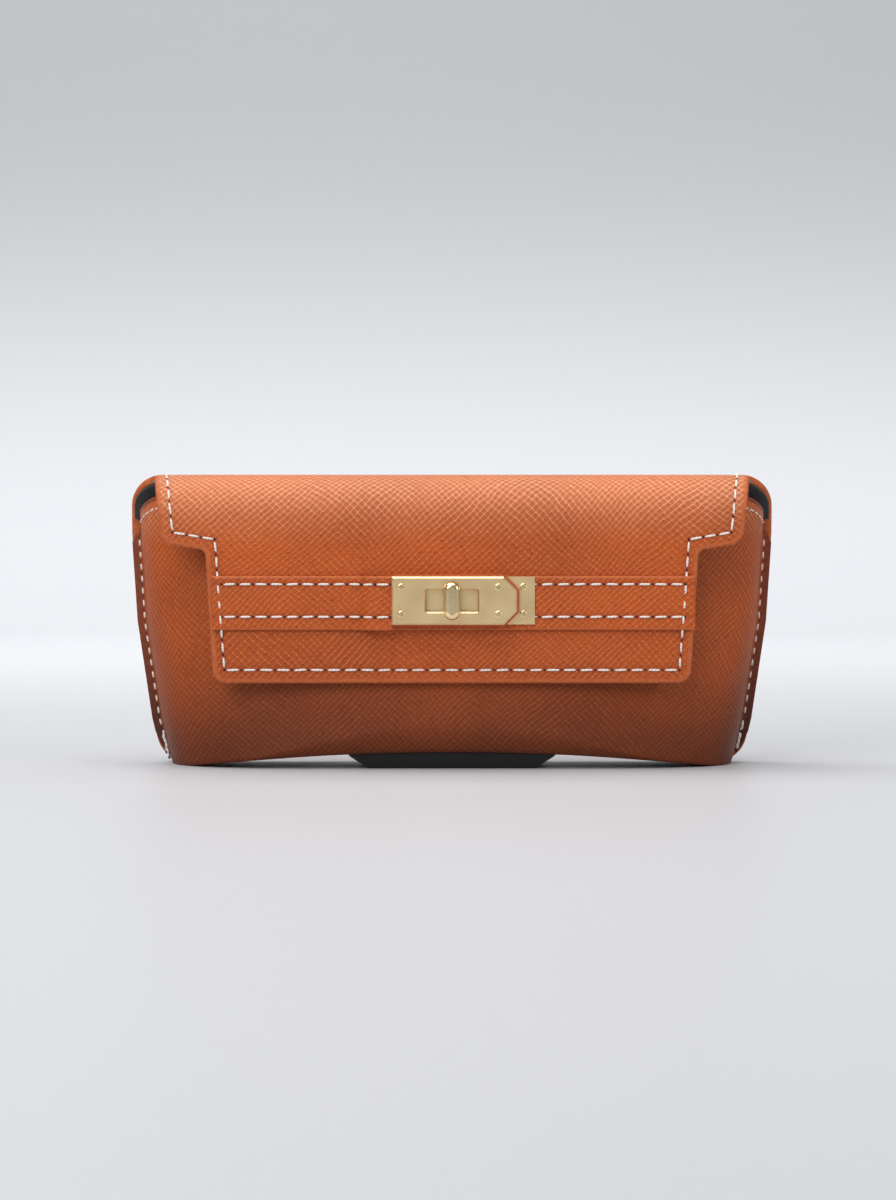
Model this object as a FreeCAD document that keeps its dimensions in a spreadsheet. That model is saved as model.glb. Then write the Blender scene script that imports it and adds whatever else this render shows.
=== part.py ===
"""Magnetic flap case for eyeglasses: a moulded leather pouch, a stiffened flap and a turn-lock clasp.

The case stands upright with +Z up, +X to its right seen from the front, and +Y towards its back.
Pieces are drawn against the flat back, which lies in the plane Y = 0 with the case in front of it
at negative Y, and each is then placed half the overall depth further back, so that the origin is
the middle of the box around the whole case, at its foot.
"""
import FreeCAD, Part
import math
import os
import Sketcher

Vector = FreeCAD.Vector
Rotation = FreeCAD.Rotation

# ---------------------------------------------------------------- driving sizes, millimetres
SIZES = [
    ("overall_height", 75.3),
    # outline of the two sewn panels, as full widths at three heights, and the feet
    ("seam_width_top", 167.6), ("seam_width_mid", 164.6), ("seam_width_low", 157.0),
    ("seam_drop", 2.8), ("seam_height_mid", 37.0), ("seam_height_low", 11.5),
    ("base_width", 151.4), ("corner_round", 8.0), ("arch_width", 138.0), ("arch_rise", 4.3),
    ("seam_fin", 2.6),
    # depth of the moulded pouch
    ("pouch_depth", 35.0), ("mouth_draw", 3.5), ("belly_height", 25.0), ("fold_round", 12.0),
    ("mouth_height", 70.0), ("mouth_round", 8.5), ("mouth_width", 165.2),
    ("mouth_relief", 1.0), ("former_drop", 2.5),
    ("foot_width", 46.0), ("foot_back", 6.0), ("foot_front", 29.0), ("foot_flare", 2.5),
    # skins
    ("leather", 1.3), ("former", 0.8), ("flap_board", 0.7), ("lining", 0.7),
    ("lining_inset", 0.8), ("board_inset", 3.0), ("layer_gap", 0.3),
    # flap
    ("hinge_height", 62.8), ("hinge_gap", 0.4), ("flap_gap", 0.4),
    ("rear_round", 9.0), ("front_round", 10.5), ("shoulder_start", 12.0),
    ("flap_width_top", 152.2), ("flap_width_step", 148.0), ("step_height", 58.0),
    ("step_drop", 1.8), ("tongue_width_top", 126.0), ("tongue_width_foot", 121.6),
    ("tongue_foot", 22.3), ("step_round", 4.0), ("tongue_round", 3.5), ("notch_round", 1.6),
    # magnets
    ("magnet_radius", 3.5), ("magnet_thick", 0.5), ("magnet_side", 14.0), ("magnet_height", 29.8),
    ("magnet_clear", 0.3),
    # straps
    ("strap_thick", 1.2), ("strap_width", 13.8), ("strap_centre", 42.8), ("strap_left_end", 61.2),
    ("strap_right_end", 62.0), ("strap_right_start", 18.4), ("ramp_start", 25.0), ("ramp_run", 4.5),
    # turn-lock
    ("clasp_height", 43.5), ("plate_width", 12.2), ("base_left", 14.5), ("base_right", 21.1),
    ("base_thick", 0.7), ("base_screw_inset", 2.9), ("flush_screw_inset", 2.5),
    ("backing_thick", 0.5), ("backing_margin", 1.0), ("backing_clear", 0.2),
    ("hasp_left", 15.3), ("hasp_right", 16.6), ("hasp_thick", 0.8), ("hasp_chamfer", 3.4),
    ("hasp_bevel", 0.35), ("hasp_lift", 0.2), ("hasp_back_thick", 0.5), ("hasp_back_inset", 0.4),
    ("tab_thick", 1.1), ("tab_rim", 0.5), ("tab_joint", 17.3), ("tab_joint_gap", 0.2),
    ("window_width", 13.2), ("window_height", 5.6), ("window_round", 0.4), ("window_margin", 0.4),
    ("screw_inset_left", 2.45), ("screw_inset_right", 4.8), ("screw_spacing", 6.9),
    ("screw_head_radius", 0.95), ("screw_head_thick", 0.45), ("screw_shank_radius", 0.5),
    ("screw_slot", 0.22), ("screw_slot_depth", 0.18),
    # turning knob
    ("knob_height", 9.7), ("knob_width", 4.2), ("knob_thick", 3.2), ("knob_gap", 0.45),
    ("knob_dome", 1.3), ("stem_radius", 1.8), ("stem_clear", 0.08), ("pocket_radius", 3.6),
    ("washer_radius", 3.0), ("washer_thick", 0.45), ("spring_radius", 3.3), ("spring_thick", 0.35),
    ("spring_gap", 0.06), ("rivet_radius", 0.6), ("rivet_head_radius", 1.0),
    ("rivet_head_thick", 0.4), ("rivet_tail_radius", 1.3),
]

# ---------------------------------------------------------------- depths in front of the back plane
FLAP_IN = "Sizes.pouch_depth + Sizes.flap_gap"
FLAP_OUT = FLAP_IN + " + Sizes.leather + Sizes.flap_board + Sizes.lining"
BASE_AT = FLAP_OUT + " + Sizes.strap_thick"
HASP_BACK_AT = BASE_AT + " + Sizes.base_thick + Sizes.hasp_lift"
TAB_AT = HASP_BACK_AT + " + Sizes.hasp_back_thick"
HASP_AT = TAB_AT + " + Sizes.tab_thick"
KNOB_AT = HASP_AT + " + Sizes.hasp_thick + Sizes.knob_gap"
OVERALL_DEPTH = KNOB_AT + " + Sizes.knob_thick + Sizes.rivet_head_thick"
SPRING_AT = BASE_AT + " - Sizes.spring_gap - Sizes.spring_thick"
WASHER_AT = SPRING_AT + " - Sizes.spring_gap - Sizes.washer_thick"
BACKING_AT = FLAP_OUT + " - Sizes.leather - Sizes.backing_thick"

SEAM_TOP = "(Sizes.hinge_height - Sizes.seam_drop)"     # top of the side seams

FRONT_VIEW = Rotation(Vector(1, 0, 0), 90)     # sketch x to +X, sketch y to +Z, forward is -Y
SIDE_VIEW = Rotation(Vector(1, 1, 1), 120)     # sketch x to +Y, sketch y to +Z

BULGE = 2.8             # exponent of the pouch's rounded plan section
SECTION_POINTS = 32     # points that a plan section is drawn through
FOLD_CLEAR = 0.06       # how far the bottom fold's round starts in front of the pouch's face
MARGIN = 5.0            # how far a cutting shape runs past what it cuts
SLOT_REACH = 1.1        # length of a cutter for a screw's slot, in head radii
HEAD_ROUNDING = 0.7     # rounding of a screw head's rim, in head thicknesses
GRIP_ROUNDING = 2.05    # knob width over the rounding of its ends
CHAMFER_GROWTH = 2 - math.sqrt(2)   # growth of a cut corner per unit that its outline grows

document = FreeCAD.newDocument("eyeglasses_case")
sheet = document.addObject("Spreadsheet::Sheet", "Sizes")
for row, (alias, value) in enumerate(SIZES, start=1):
    sheet.set(f"A{row}", alias)
    sheet.set(f"B{row}", str(value))
    sheet.setAlias(f"B{row}", alias)
document.recompute()

nodes = []


def size(expression):
    """Value of an expression on the sheet, in millimetres."""
    return float(sheet.evalExpression(expression))


def node(piece, label):
    """Name a finished piece and place it, so that the whole case is centred on the origin."""
    piece.Label = label
    piece.setExpression("Placement.Base.y", f"({OVERALL_DEPTH}) / 2")
    nodes.append(piece)
    return piece


# ---------------------------------------------------------------- sketches and simple solids
def outline(name, corners, rotation):
    """Closed sketch of straight sides. Each corner is (x, y, rounding radius or None)."""
    sketch = document.addObject("Sketcher::SketchObject", name)
    sketch.Placement = FreeCAD.Placement(Vector(), rotation)
    points = [Vector(size(x), size(y), 0) for x, y, _ in corners]
    count = len(points)
    for k in range(count):
        sketch.addGeometry(Part.LineSegment(points[k], points[(k + 1) % count]), False)
    for k in range(count):
        sketch.addConstraint(Sketcher.Constraint("Coincident", k, 2, (k + 1) % count, 1))
    for k, (x, y, _) in enumerate(corners):
        for kind, value, expression in (("DistanceX", points[k].x, x), ("DistanceY", points[k].y, y)):
            index = sketch.addConstraint(Sketcher.Constraint(kind, -1, 1, k, 1, value))
            sketch.setExpression(f"Constraints[{index}]", expression)
    document.recompute()
    for k, (_, _, radius) in enumerate(corners):
        if radius:
            round_corner(sketch, points, k, radius)
    document.recompute()
    return sketch


def round_corner(sketch, points, k, radius):
    """Replace corner k of a sketched outline by a tangent arc of the given radius."""
    count = len(points)
    before = points[(k - 1) % count] * 0.1 + points[k] * 0.9
    after = points[(k + 1) % count] * 0.1 + points[k] * 0.9
    first_new = sketch.GeometryCount
    sketch.fillet((k - 1) % count, k, before, after, size(radius), True, True)
    arc = next(g for g in range(first_new, sketch.GeometryCount)
               if isinstance(sketch.Geometry[g], Part.ArcOfCircle))
    index = sketch.addConstraint(Sketcher.Constraint("Radius", arc, size(radius)))
    sketch.setExpression(f"Constraints[{index}]", radius)


def plate(name, corners, start, thick):
    """Plate with a front-view outline whose back lies `start` in front of the back plane."""
    sketch = outline(name + "_outline", corners, FRONT_VIEW)
    sketch.setExpression("Placement.Base.y", f"-({start})")
    solid = document.addObject("Part::Extrusion", name)
    solid.Base = sketch
    solid.DirMode = "Normal"
    solid.setExpression("LengthFwd", thick)
    solid.Solid = True
    document.recompute()
    return solid


def bar(name, corners, length):
    """Bar with a side-view outline, running `length` along X, centred on the case."""
    sketch = outline(name + "_profile", corners, SIDE_VIEW)
    solid = document.addObject("Part::Extrusion", name)
    solid.Base = sketch
    solid.DirMode = "Normal"
    solid.setExpression("LengthFwd", length)
    solid.Symmetric = True
    solid.Solid = True
    document.recompute()
    return solid


def rod(name, radius, start, length, x="0", z="Sizes.clasp_height"):
    """Round rod pointing forward from `start` in front of the back plane."""
    solid = document.addObject("Part::Cylinder", name)
    solid.Placement.Rotation = FRONT_VIEW
    solid.setExpression("Radius", radius)
    solid.setExpression("Height", length)
    solid.setExpression("Placement.Base.x", x)
    solid.setExpression("Placement.Base.y", f"-({start})")
    solid.setExpression("Placement.Base.z", z)
    document.recompute()
    return solid


def cut(name, base, *tools):
    """What is left of `base` after each tool is taken away."""
    for number, tool in enumerate(tools):
        result = document.addObject("Part::Cut", f"{name}_{number}")
        result.Base = base
        result.Tool = tool
        base = result
    document.recompute()
    return base


def fuse(name, *pieces):
    """Pieces joined into one solid."""
    result = document.addObject("Part::MultiFuse", name)
    result.Shapes = list(pieces)
    result.Refine = True
    document.recompute()
    return result


def common(name, base, tool):
    """What `base` and `tool` share."""
    result = document.addObject("Part::Common", name)
    result.Base = base
    result.Tool = tool
    document.recompute()
    return result


def group(name, solids):
    """Separate identical solids kept together as one piece."""
    result = document.addObject("Part::Compound", name)
    result.Links = solids
    document.recompute()
    return result


def mirrored(right_side):
    """Outline corners for both sides, from the corners of the right side, bottom first."""
    left_side = [(f"-({x})", z, radius) for x, z, radius in reversed(right_side)]
    return right_side + left_side


def box_corners(left, right, low, high, radius=None):
    """Corners of a rectangle."""
    return [(left, low, radius), (right, low, radius), (right, high, radius), (left, high, radius)]


# ---------------------------------------------------------------- sewn pouch
def seam_side(inset="0"):
    """Right side of the panels' outline, from the foot up to the top of the side seam."""
    return [
        (f"Sizes.base_width / 2 - ({inset})", "0", "Sizes.corner_round"),
        (f"Sizes.seam_width_low / 2 - ({inset})", "Sizes.seam_height_low", None),
        (f"Sizes.seam_width_mid / 2 - ({inset})", "Sizes.seam_height_mid", None),
        (f"Sizes.seam_width_top / 2 - ({inset})", SEAM_TOP, None),
    ]


def arch_cutter(name, inset="0"):
    """Wide cylinder that hollows the bottom edge between the two feet at the corners."""
    radius = "((Sizes.arch_width / 2)^2 + Sizes.arch_rise^2) / (2 * Sizes.arch_rise)"
    return rod(name, f"{radius} + {inset}", f"-{MARGIN}", f"Sizes.pouch_depth + {3 * MARGIN}",
               z=f"Sizes.arch_rise - ({radius})")


PANEL_TOP = "Sizes.hinge_height - Sizes.hinge_gap / 2"


def back_panel(name, start, thick, inset):
    """Flat panel of the back, cut off square just under the flap's fold."""
    side = seam_side(inset)
    side.append((side[-1][0], PANEL_TOP, None))
    panel = plate(name + "_blank", mirrored(side), start, thick)
    return cut(name, panel, arch_cutter(name + "_arch", inset))


def back_leather():
    node(back_panel("back_skin", "0", "Sizes.leather", "0"), "back_leather")


def back_stiffening():
    """Board and lining of the back, inside the front's shell."""
    inset = ("Sizes.seam_fin + Sizes.leather + Sizes.former + Sizes.lining + Sizes.layer_gap")
    node(back_panel("back_stiff", "Sizes.leather", "Sizes.former", inset), "back_board")
    node(back_panel("back_cloth", "Sizes.leather + Sizes.former", "Sizes.lining", inset),
         "back_lining")


def half_width_at(height):
    """Half the width between the side seams' stitching at a height, along the straight sides."""
    heights = [0.0, size("Sizes.seam_height_low"), size("Sizes.seam_height_mid"), size(SEAM_TOP)]
    widths = [size("Sizes.base_width")] + [size(f"Sizes.seam_width_{level}")
                                           for level in ("low", "mid", "top")]
    k = max(i for i in range(3) if i == 0 or height >= heights[i])
    slope = (widths[k + 1] - widths[k]) / (heights[k + 1] - heights[k])
    return (widths[k] + slope * (height - heights[k])) / 2 - size("Sizes.seam_fin")


def depth_at(height):
    """Depth of the pouch on its centre line, which eases in from the belly to the mouth."""
    belly, top = size("Sizes.belly_height"), size("Sizes.mouth_height")
    rise = max(0.0, (height - belly) / (top - belly))
    return size("Sizes.pouch_depth") - size("Sizes.mouth_draw") * rise ** 2


def front_depth(x, height, inset=0.0):
    """Depth of the pouch's front wall at a place across its width."""
    base = size("Sizes.leather")
    across = min(1.0, abs(x) / (half_width_at(height) - inset))
    return base + (depth_at(height) - inset - base) * (1 - across ** BULGE) ** (1 / BULGE)


def plan_section(height, inset):
    """Closed plan section: a straight back and a front rounded like a superellipse."""
    base = size("Sizes.leather")
    half_width = half_width_at(height) - inset
    depth = depth_at(height) - inset - base
    points = []
    for k in range(SECTION_POINTS + 1):
        angle = math.pi * k / SECTION_POINTS
        across = math.copysign(abs(math.cos(angle)) ** (2 / BULGE), math.cos(angle))
        forward = abs(math.sin(angle)) ** (2 / BULGE) if 0 < k < SECTION_POINTS else 0.0
        points.append(Vector(half_width * across, -(base + depth * forward), height))
    front = Part.BSplineCurve()
    front.interpolate(points)
    return Part.Wire([front.toShape(), Part.makeLine(points[-1], points[0])])


def pouch_block(inset):
    """Solid space inside the front skin, `inset` deeper than its outer face, open to the top."""
    heights = [-1.0, size("Sizes.seam_height_low"), size("Sizes.seam_height_mid"),
               size(SEAM_TOP), size("Sizes.mouth_height") + 1.0]
    block = Part.makeLoft([plan_section(height, inset) for height in heights], True, False)
    depth = size("Sizes.pouch_depth")
    arch = size("Sizes.arch_rise")
    radius = (size("Sizes.arch_width / 2") ** 2 + arch ** 2) / (2 * arch)
    below = Part.makeCylinder(radius + inset, 3 * depth, Vector(0, depth, arch - radius),
                              Vector(0, -1, 0))
    half = size("Sizes.seam_width_top")
    fold = size("Sizes.fold_round")
    face = depth - inset + FOLD_CLEAR
    corner = Part.makeBox(2 * half, fold, fold, Vector(-half, -face, inset))
    quarter = Part.makeCylinder(fold, 2 * half, Vector(-half, fold - face, inset + fold),
                                Vector(1, 0, 0))
    sole = Part.makeBox(2 * half, 3 * depth, MARGIN + inset, Vector(-half, -2 * depth, -MARGIN))
    return block.cut(below).cut(sole).cut(corner.cut(quarter))


def foot_block():
    """Low flared foot on which the middle of the pouch rests."""
    half, back = size("Sizes.foot_width / 2"), size("Sizes.foot_back")
    front, flare = size("Sizes.foot_front"), size("Sizes.foot_flare")
    rings = []
    for height, grow in ((0.0, 0.0), (size("Sizes.arch_rise + Sizes.leather"), flare)):
        ring = [Vector(-half - 2 * grow, -front - grow, height),
                Vector(half + 2 * grow, -front - grow, height),
                Vector(half + 2 * grow, -back + grow, height),
                Vector(-half - 2 * grow, -back + grow, height)]
        rings.append(Part.makePolygon(ring + ring[:1]))
    return Part.makeLoft(rings, True, True)


def shaped(name, shape):
    """Document object that holds a solid built from the sheet's sizes."""
    feature = document.addObject("Part::Feature", name)
    feature.Shape = shape.removeSplitter()
    return feature


def mouth_outline(name, drop="0"):
    """Space in front of the back and of the flap's rear wall, `drop` under the pouch's mouth."""
    side = seam_side()
    side[-1] = ("Sizes.seam_width_top / 2", f"{SEAM_TOP} - Sizes.seam_fin", None)
    side.append(("Sizes.mouth_width / 2", f"Sizes.mouth_height - {drop}", "Sizes.mouth_round"))
    under = plate(name, mirrored(side), "Sizes.leather", "Sizes.pouch_depth")
    wide, high = "Sizes.seam_width_top", "2 * Sizes.overall_height"
    rear_wall = plate(name + "_relief", box_corners(f"-{wide}", wide, PANEL_TOP, high), "0",
                      "Sizes.leather + Sizes.flap_board + Sizes.lining + Sizes.mouth_relief")
    return cut(name + "_relieved", under, rear_wall)


def front_panels():
    """Front skin with its seam fins and foot, then the moulded former and the lining inside it."""
    leather, former, lining = size("Sizes.leather"), size("Sizes.former"), size("Sizes.lining")
    blocks = [pouch_block(inset) for inset in
              (0.0, leather, leather + former, leather + former + lining)]
    mouth = mouth_outline("mouth")
    fin = cut("fin", plate("fin_blank", mirrored(seam_side()), "Sizes.leather", "Sizes.leather"),
              arch_cutter("fin_arch"))
    skin = blocks[0].fuse([fin.Shape, foot_block()]).cut(blocks[1])
    node(common("front_skin", shaped("front_skin_shell", skin), mouth), "front_leather")
    core = common("front_core", shaped("front_core_shell", blocks[1].cut(blocks[2])),
                  mouth_outline("core_mouth", "Sizes.former_drop"))
    node(cut("front_core_drilled", core, *magnet_bores("core", "0", "Sizes.pouch_depth")),
         "front_former")
    node(common("front_cloth", shaped("front_cloth_shell", blocks[2].cut(blocks[3])), mouth),
         "front_lining")


# ---------------------------------------------------------------- magnets
def magnet_bores(name, start, length):
    """Two round bores that leave a little room round the magnets."""
    radius = "Sizes.magnet_radius + Sizes.magnet_clear"
    return [rod(f"{name}_bore_{side}", radius, start, length, x=f"{sign}Sizes.magnet_side",
                z="Sizes.magnet_height") for side, sign in (("left", "-"), ("right", ""))]


def magnets(name, start, label):
    """A pair of flat round magnets at the same height."""
    discs = [rod(f"{name}_{side}", "Sizes.magnet_radius", start, "Sizes.magnet_thick",
                 x=f"{sign}Sizes.magnet_side", z="Sizes.magnet_height")
             for side, sign in (("left", "-"), ("right", ""))]
    node(group(name, discs), label)


def all_magnets():
    """Magnets of the flap, in its board, and of the front, in its former."""
    reach = size("Sizes.magnet_side + Sizes.magnet_radius")
    low = size("Sizes.magnet_height - Sizes.magnet_radius")
    high = size("Sizes.magnet_height + Sizes.magnet_radius")
    wall = min(front_depth(reach, low), front_depth(reach, high)) - size("Sizes.pouch_depth")
    front = f"Sizes.pouch_depth - Sizes.leather - Sizes.magnet_thick - {-wall:.3f}"
    magnets("front_discs", front, "front_magnets")
    magnets("flap_discs", FLAP_OUT + " - Sizes.leather - Sizes.magnet_thick", "flap_magnets")


# ---------------------------------------------------------------- flap
def flap_profile(outer, inner, inset):
    """Side view of a layer of the flap, between two depths under its outer face."""
    foot = f"Sizes.tongue_foot + ({inset})"
    hinge = f"Sizes.hinge_height + Sizes.hinge_gap / 2 + ({inset})"
    corners = []
    for depth in (outer, inner):
        rear, front = f"-({depth})", f"-({FLAP_OUT} - ({depth}))"
        top = f"Sizes.overall_height - ({depth})"
        side = [(rear, hinge, None), (rear, top, f"Sizes.rear_round - ({depth})"),
                (front, top, f"Sizes.front_round - ({depth})"), (front, foot, None)]
        corners += side if depth == outer else list(reversed(side))
    return corners


def flap_layer(name, outer, inner, inset, start=f"-{MARGIN}"):
    """One layer of the flap, trimmed to its outline, from `start` in front of the back plane."""
    sheet_bar = bar(name + "_sheet", flap_profile(outer, inner, inset), "2 * Sizes.seam_width_top")
    above = f"Sizes.overall_height + {MARGIN}"
    tongue = mirrored([
        (f"Sizes.tongue_width_foot / 2 - ({inset})", f"Sizes.tongue_foot + ({inset})",
         f"Sizes.tongue_round - ({inset}) / 2"),
        (f"Sizes.tongue_width_top / 2 - ({inset})",
         f"Sizes.step_height - Sizes.step_drop + ({inset})", f"Sizes.notch_round + ({inset})"),
        (f"Sizes.flap_width_step / 2 - ({inset})", f"Sizes.step_height + ({inset})",
         f"Sizes.step_round - ({inset}) / 2"),
        (f"Sizes.flap_width_top / 2 - ({inset})", "Sizes.overall_height", None),
        (f"Sizes.flap_width_top / 2 - ({inset})", above, None),
    ])
    front = plate(name + "_front", tongue, "Sizes.shoulder_start", "2 * Sizes.pouch_depth")
    ear = "(Sizes.seam_width_top - Sizes.flap_width_top) / 2"
    shoulders = mirrored([
        (f"Sizes.seam_width_top / 2 - ({inset})", "Sizes.seam_height_mid", None),
        (f"Sizes.seam_width_top / 2 - ({inset})", "Sizes.overall_height", ear),
    ])
    rear = plate(name + "_rear", shoulders, start, f"Sizes.shoulder_start - ({start})")
    return common(name, sheet_bar, fuse(name + "_trim", front, rear))


def flap():
    """Skin of the flap with a recess for its board, the board, and the lining over both."""
    inner = "Sizes.leather + Sizes.flap_board"
    board_sizes = ("Sizes.leather", inner, "Sizes.board_inset", "Sizes.rear_round")
    recess = flap_layer("flap_recess", *board_sizes)
    skin = flap_layer("flap_skin", "0", inner, "0")
    through = lock_pocket("flap_skin")
    node(cut("flap_skin_cut", skin, recess, through, *base_screw_bores("flap_skin")),
         "flap_leather")
    board = flap_layer("flap_stiff", *board_sizes)
    backing = backing_blank("flap_stiff_backing", "Sizes.backing_clear", "Sizes.flap_board")
    node(cut("flap_stiff_cut", board, backing, *magnet_bores("flap_stiff", "0", OVERALL_DEPTH)),
         "flap_board")
    node(flap_layer("flap_cloth", inner, inner + " + Sizes.lining", "Sizes.lining_inset"),
         "flap_lining")


# ---------------------------------------------------------------- straps
STRAP_LOW = "Sizes.strap_centre - Sizes.strap_width / 2"
STRAP_HIGH = "Sizes.strap_centre + Sizes.strap_width / 2"


def strap_right():
    """Flat strap sewn on the flap, under the lock's base plate."""
    blank = plate("strap_right_blank",
                  box_corners("-Sizes.strap_right_start", "Sizes.strap_right_end",
                              STRAP_LOW, STRAP_HIGH), FLAP_OUT, "Sizes.strap_thick")
    node(cut("strap_right_cut", blank, lock_pocket("strap_right"),
             *base_screw_bores("strap_right")), "strap_right")


def strap_left():
    """Strap sewn on the flap that climbs to the hasp's level over the other strap's end."""
    rise = f"({TAB_AT}) - ({FLAP_OUT})"
    flat = f"-({FLAP_OUT})"
    profile = [
        ("-Sizes.strap_left_end", flat, None),
        ("-Sizes.ramp_start", flat, None),
        ("-Sizes.ramp_start + Sizes.ramp_run", f"{flat} - ({rise})", None),
        ("-Sizes.tab_joint - Sizes.tab_joint_gap", f"{flat} - ({rise})", None),
        ("-Sizes.tab_joint - Sizes.tab_joint_gap", f"{flat} - ({rise}) - Sizes.strap_thick", None),
        ("-Sizes.ramp_start + Sizes.ramp_run", f"{flat} - ({rise}) - Sizes.strap_thick", None),
        ("-Sizes.ramp_start", f"{flat} - Sizes.strap_thick", None),
        ("-Sizes.strap_left_end", f"{flat} - Sizes.strap_thick", None),
    ]
    sketch = outline("strap_left_plan", profile, Rotation())
    sketch.setExpression("Placement.Base.z", STRAP_LOW)
    solid = document.addObject("Part::Extrusion", "strap_left_band")
    solid.Base = sketch
    solid.DirMode = "Normal"
    solid.setExpression("LengthFwd", "Sizes.strap_width")
    solid.Solid = True
    document.recompute()
    node(solid, "strap_left")


# ---------------------------------------------------------------- turn-lock
PLATE_LOW = "Sizes.clasp_height - Sizes.plate_width / 2"
PLATE_HIGH = "Sizes.clasp_height + Sizes.plate_width / 2"
BASE_SCREW_X = "Sizes.base_right - Sizes.base_screw_inset"
FLUSH_SCREW_X = "-Sizes.base_left + Sizes.flush_screw_inset"
SCREW_LEVELS = [f"Sizes.clasp_height {sign} Sizes.screw_spacing / 2" for sign in ("-", "+")]


def lock_pocket(name):
    """Round opening behind the base plate for the spring and the retaining washer."""
    return rod(name + "_pocket", "Sizes.pocket_radius", FLAP_IN, "2 * Sizes.pouch_depth")


def base_screw_bores(name):
    """Bores for the shanks of the four screws that hold the base plate."""
    return [rod(f"{name}_bore_{a}{b}", "Sizes.screw_shank_radius", FLAP_IN, "Sizes.pouch_depth",
                x=x, z=z) for a, x in enumerate((BASE_SCREW_X, FLUSH_SCREW_X))
            for b, z in enumerate(SCREW_LEVELS)]


def backing_blank(name, clearance, thick):
    """Backing plate's blank, or with a clearance the opening that it sits in."""
    low = f"{PLATE_LOW} + Sizes.backing_margin - {clearance}"
    high = f"{PLATE_HIGH} - Sizes.backing_margin + {clearance}"
    corners = box_corners(f"-Sizes.base_left - {clearance}",
                          f"Sizes.base_right - Sizes.backing_margin + {clearance}", low, high)
    return plate(name, corners, f"{FLAP_OUT} - Sizes.leather - ({thick})", thick)


def base_backing():
    blank = backing_blank("backing", "0", "Sizes.backing_thick")
    node(cut("backing_cut", blank, lock_pocket("backing"), *base_screw_bores("backing")),
         "base_backing")


def base_plate():
    """Lower plate of the lock, with the stem's bearing and countersinks at its hidden end."""
    blank = plate("base_blank", box_corners("-Sizes.base_left", "Sizes.base_right",
                                            PLATE_LOW, PLATE_HIGH), BASE_AT, "Sizes.base_thick")
    bearing = rod("base_bearing", "Sizes.stem_radius + Sizes.stem_clear", BASE_AT,
                  "Sizes.pouch_depth")
    sinks = [countersunk_head(f"base_sink_{k}", z) for k, z in enumerate(SCREW_LEVELS)]
    node(cut("base_cut", blank, bearing, *base_screw_bores("base"), *sinks), "base_plate")


def countersunk_head(name, z):
    """Cone as deep as the base plate, its wide end flush with the plate's face."""
    cone = document.addObject("Part::Cone", name)
    cone.Placement.Rotation = FRONT_VIEW
    cone.setExpression("Radius1", "Sizes.screw_shank_radius")
    cone.setExpression("Radius2", "Sizes.screw_head_radius")
    cone.setExpression("Height", "Sizes.base_thick")
    cone.setExpression("Placement.Base.x", FLUSH_SCREW_X)
    cone.setExpression("Placement.Base.y", f"-({BASE_AT})")
    cone.setExpression("Placement.Base.z", z)
    document.recompute()
    return cone


def pan_screw(name, face, foot, x, z):
    """Slotted pan-head screw whose head sits on `face` and whose shank reaches back to `foot`."""
    shank = rod(name + "_shank", "Sizes.screw_shank_radius", foot, f"({face}) - ({foot})", x, z)
    blank = rod(name + "_head", "Sizes.screw_head_radius", face, "Sizes.screw_head_thick", x, z)
    head = document.addObject("Part::Fillet", name + "_round")
    head.Base = blank
    rim = next(k for k, edge in enumerate(blank.Shape.Edges, start=1)
               if len(edge.Vertexes) == 1 and edge.BoundBox.YMin < blank.Shape.BoundBox.YMin + 1e-4)
    rounding = HEAD_ROUNDING * size("Sizes.screw_head_thick")
    head.Edges = [(rim, rounding, rounding)]
    slot_at = f"{face} + Sizes.screw_head_thick - Sizes.screw_slot_depth"
    reach = f"Sizes.screw_head_radius * {SLOT_REACH}"
    slot = plate(name + "_slot", box_corners(f"{x} - {reach}", f"{x} + {reach}",
                 f"{z} - Sizes.screw_slot / 2", f"{z} + Sizes.screw_slot / 2"), slot_at,
                 "Sizes.screw_head_thick")
    return cut(name, fuse(name + "_whole", shank, head), slot)


def base_screws():
    """Two visible pan-head screws and two hidden flush ones."""
    foot = BACKING_AT
    face = BASE_AT + " + Sizes.base_thick"
    seen = [pan_screw(f"base_screw_{k}", face, foot, BASE_SCREW_X, z)
            for k, z in enumerate(SCREW_LEVELS)]
    node(group("base_screws", seen), "base_plate_screws")
    hidden = [fuse(f"flush_screw_{k}", countersunk_head(f"flush_head_{k}", z),
                   rod(f"flush_shank_{k}", "Sizes.screw_shank_radius", foot,
                       f"({BASE_AT}) - ({foot})", FLUSH_SCREW_X, z))
              for k, z in enumerate(SCREW_LEVELS)]
    node(group("flush_screws", hidden), "base_plate_flush_screws")


def hasp_outline(margin, left):
    """Hasp seen from the front: square at the strap, with two corners cut off at its free end."""
    right = f"Sizes.hasp_right + ({margin})"
    low, high = f"{PLATE_LOW} - ({margin})", f"{PLATE_HIGH} + ({margin})"
    cut_back = f"(Sizes.hasp_chamfer + {CHAMFER_GROWTH:.6f} * ({margin}))"
    return [(left, low, None), (f"{right} - {cut_back}", low, None),
            (right, f"{low} + {cut_back}", None), (right, f"{high} - {cut_back}", None),
            (f"{right} - {cut_back}", high, None), (left, high, None)]


def window(name, margin):
    """Slot for the knob's stem, `margin` larger all round than the hasp plate's own."""
    half_width = f"(Sizes.window_width / 2 + {margin})"
    half_height = f"(Sizes.window_height / 2 + {margin})"
    corners = box_corners(f"-{half_width}", half_width, f"Sizes.clasp_height - {half_height}",
                          f"Sizes.clasp_height + {half_height}", "Sizes.window_round")
    return plate(name, corners, BASE_AT, "Sizes.pouch_depth")


def hasp_screw_places():
    """The four screws of the hasp, as (x, z)."""
    left = "-Sizes.hasp_left + Sizes.screw_inset_left"
    right = "Sizes.hasp_right - Sizes.screw_inset_right"
    return [(x, z) for x in (left, right) for z in SCREW_LEVELS]


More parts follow.
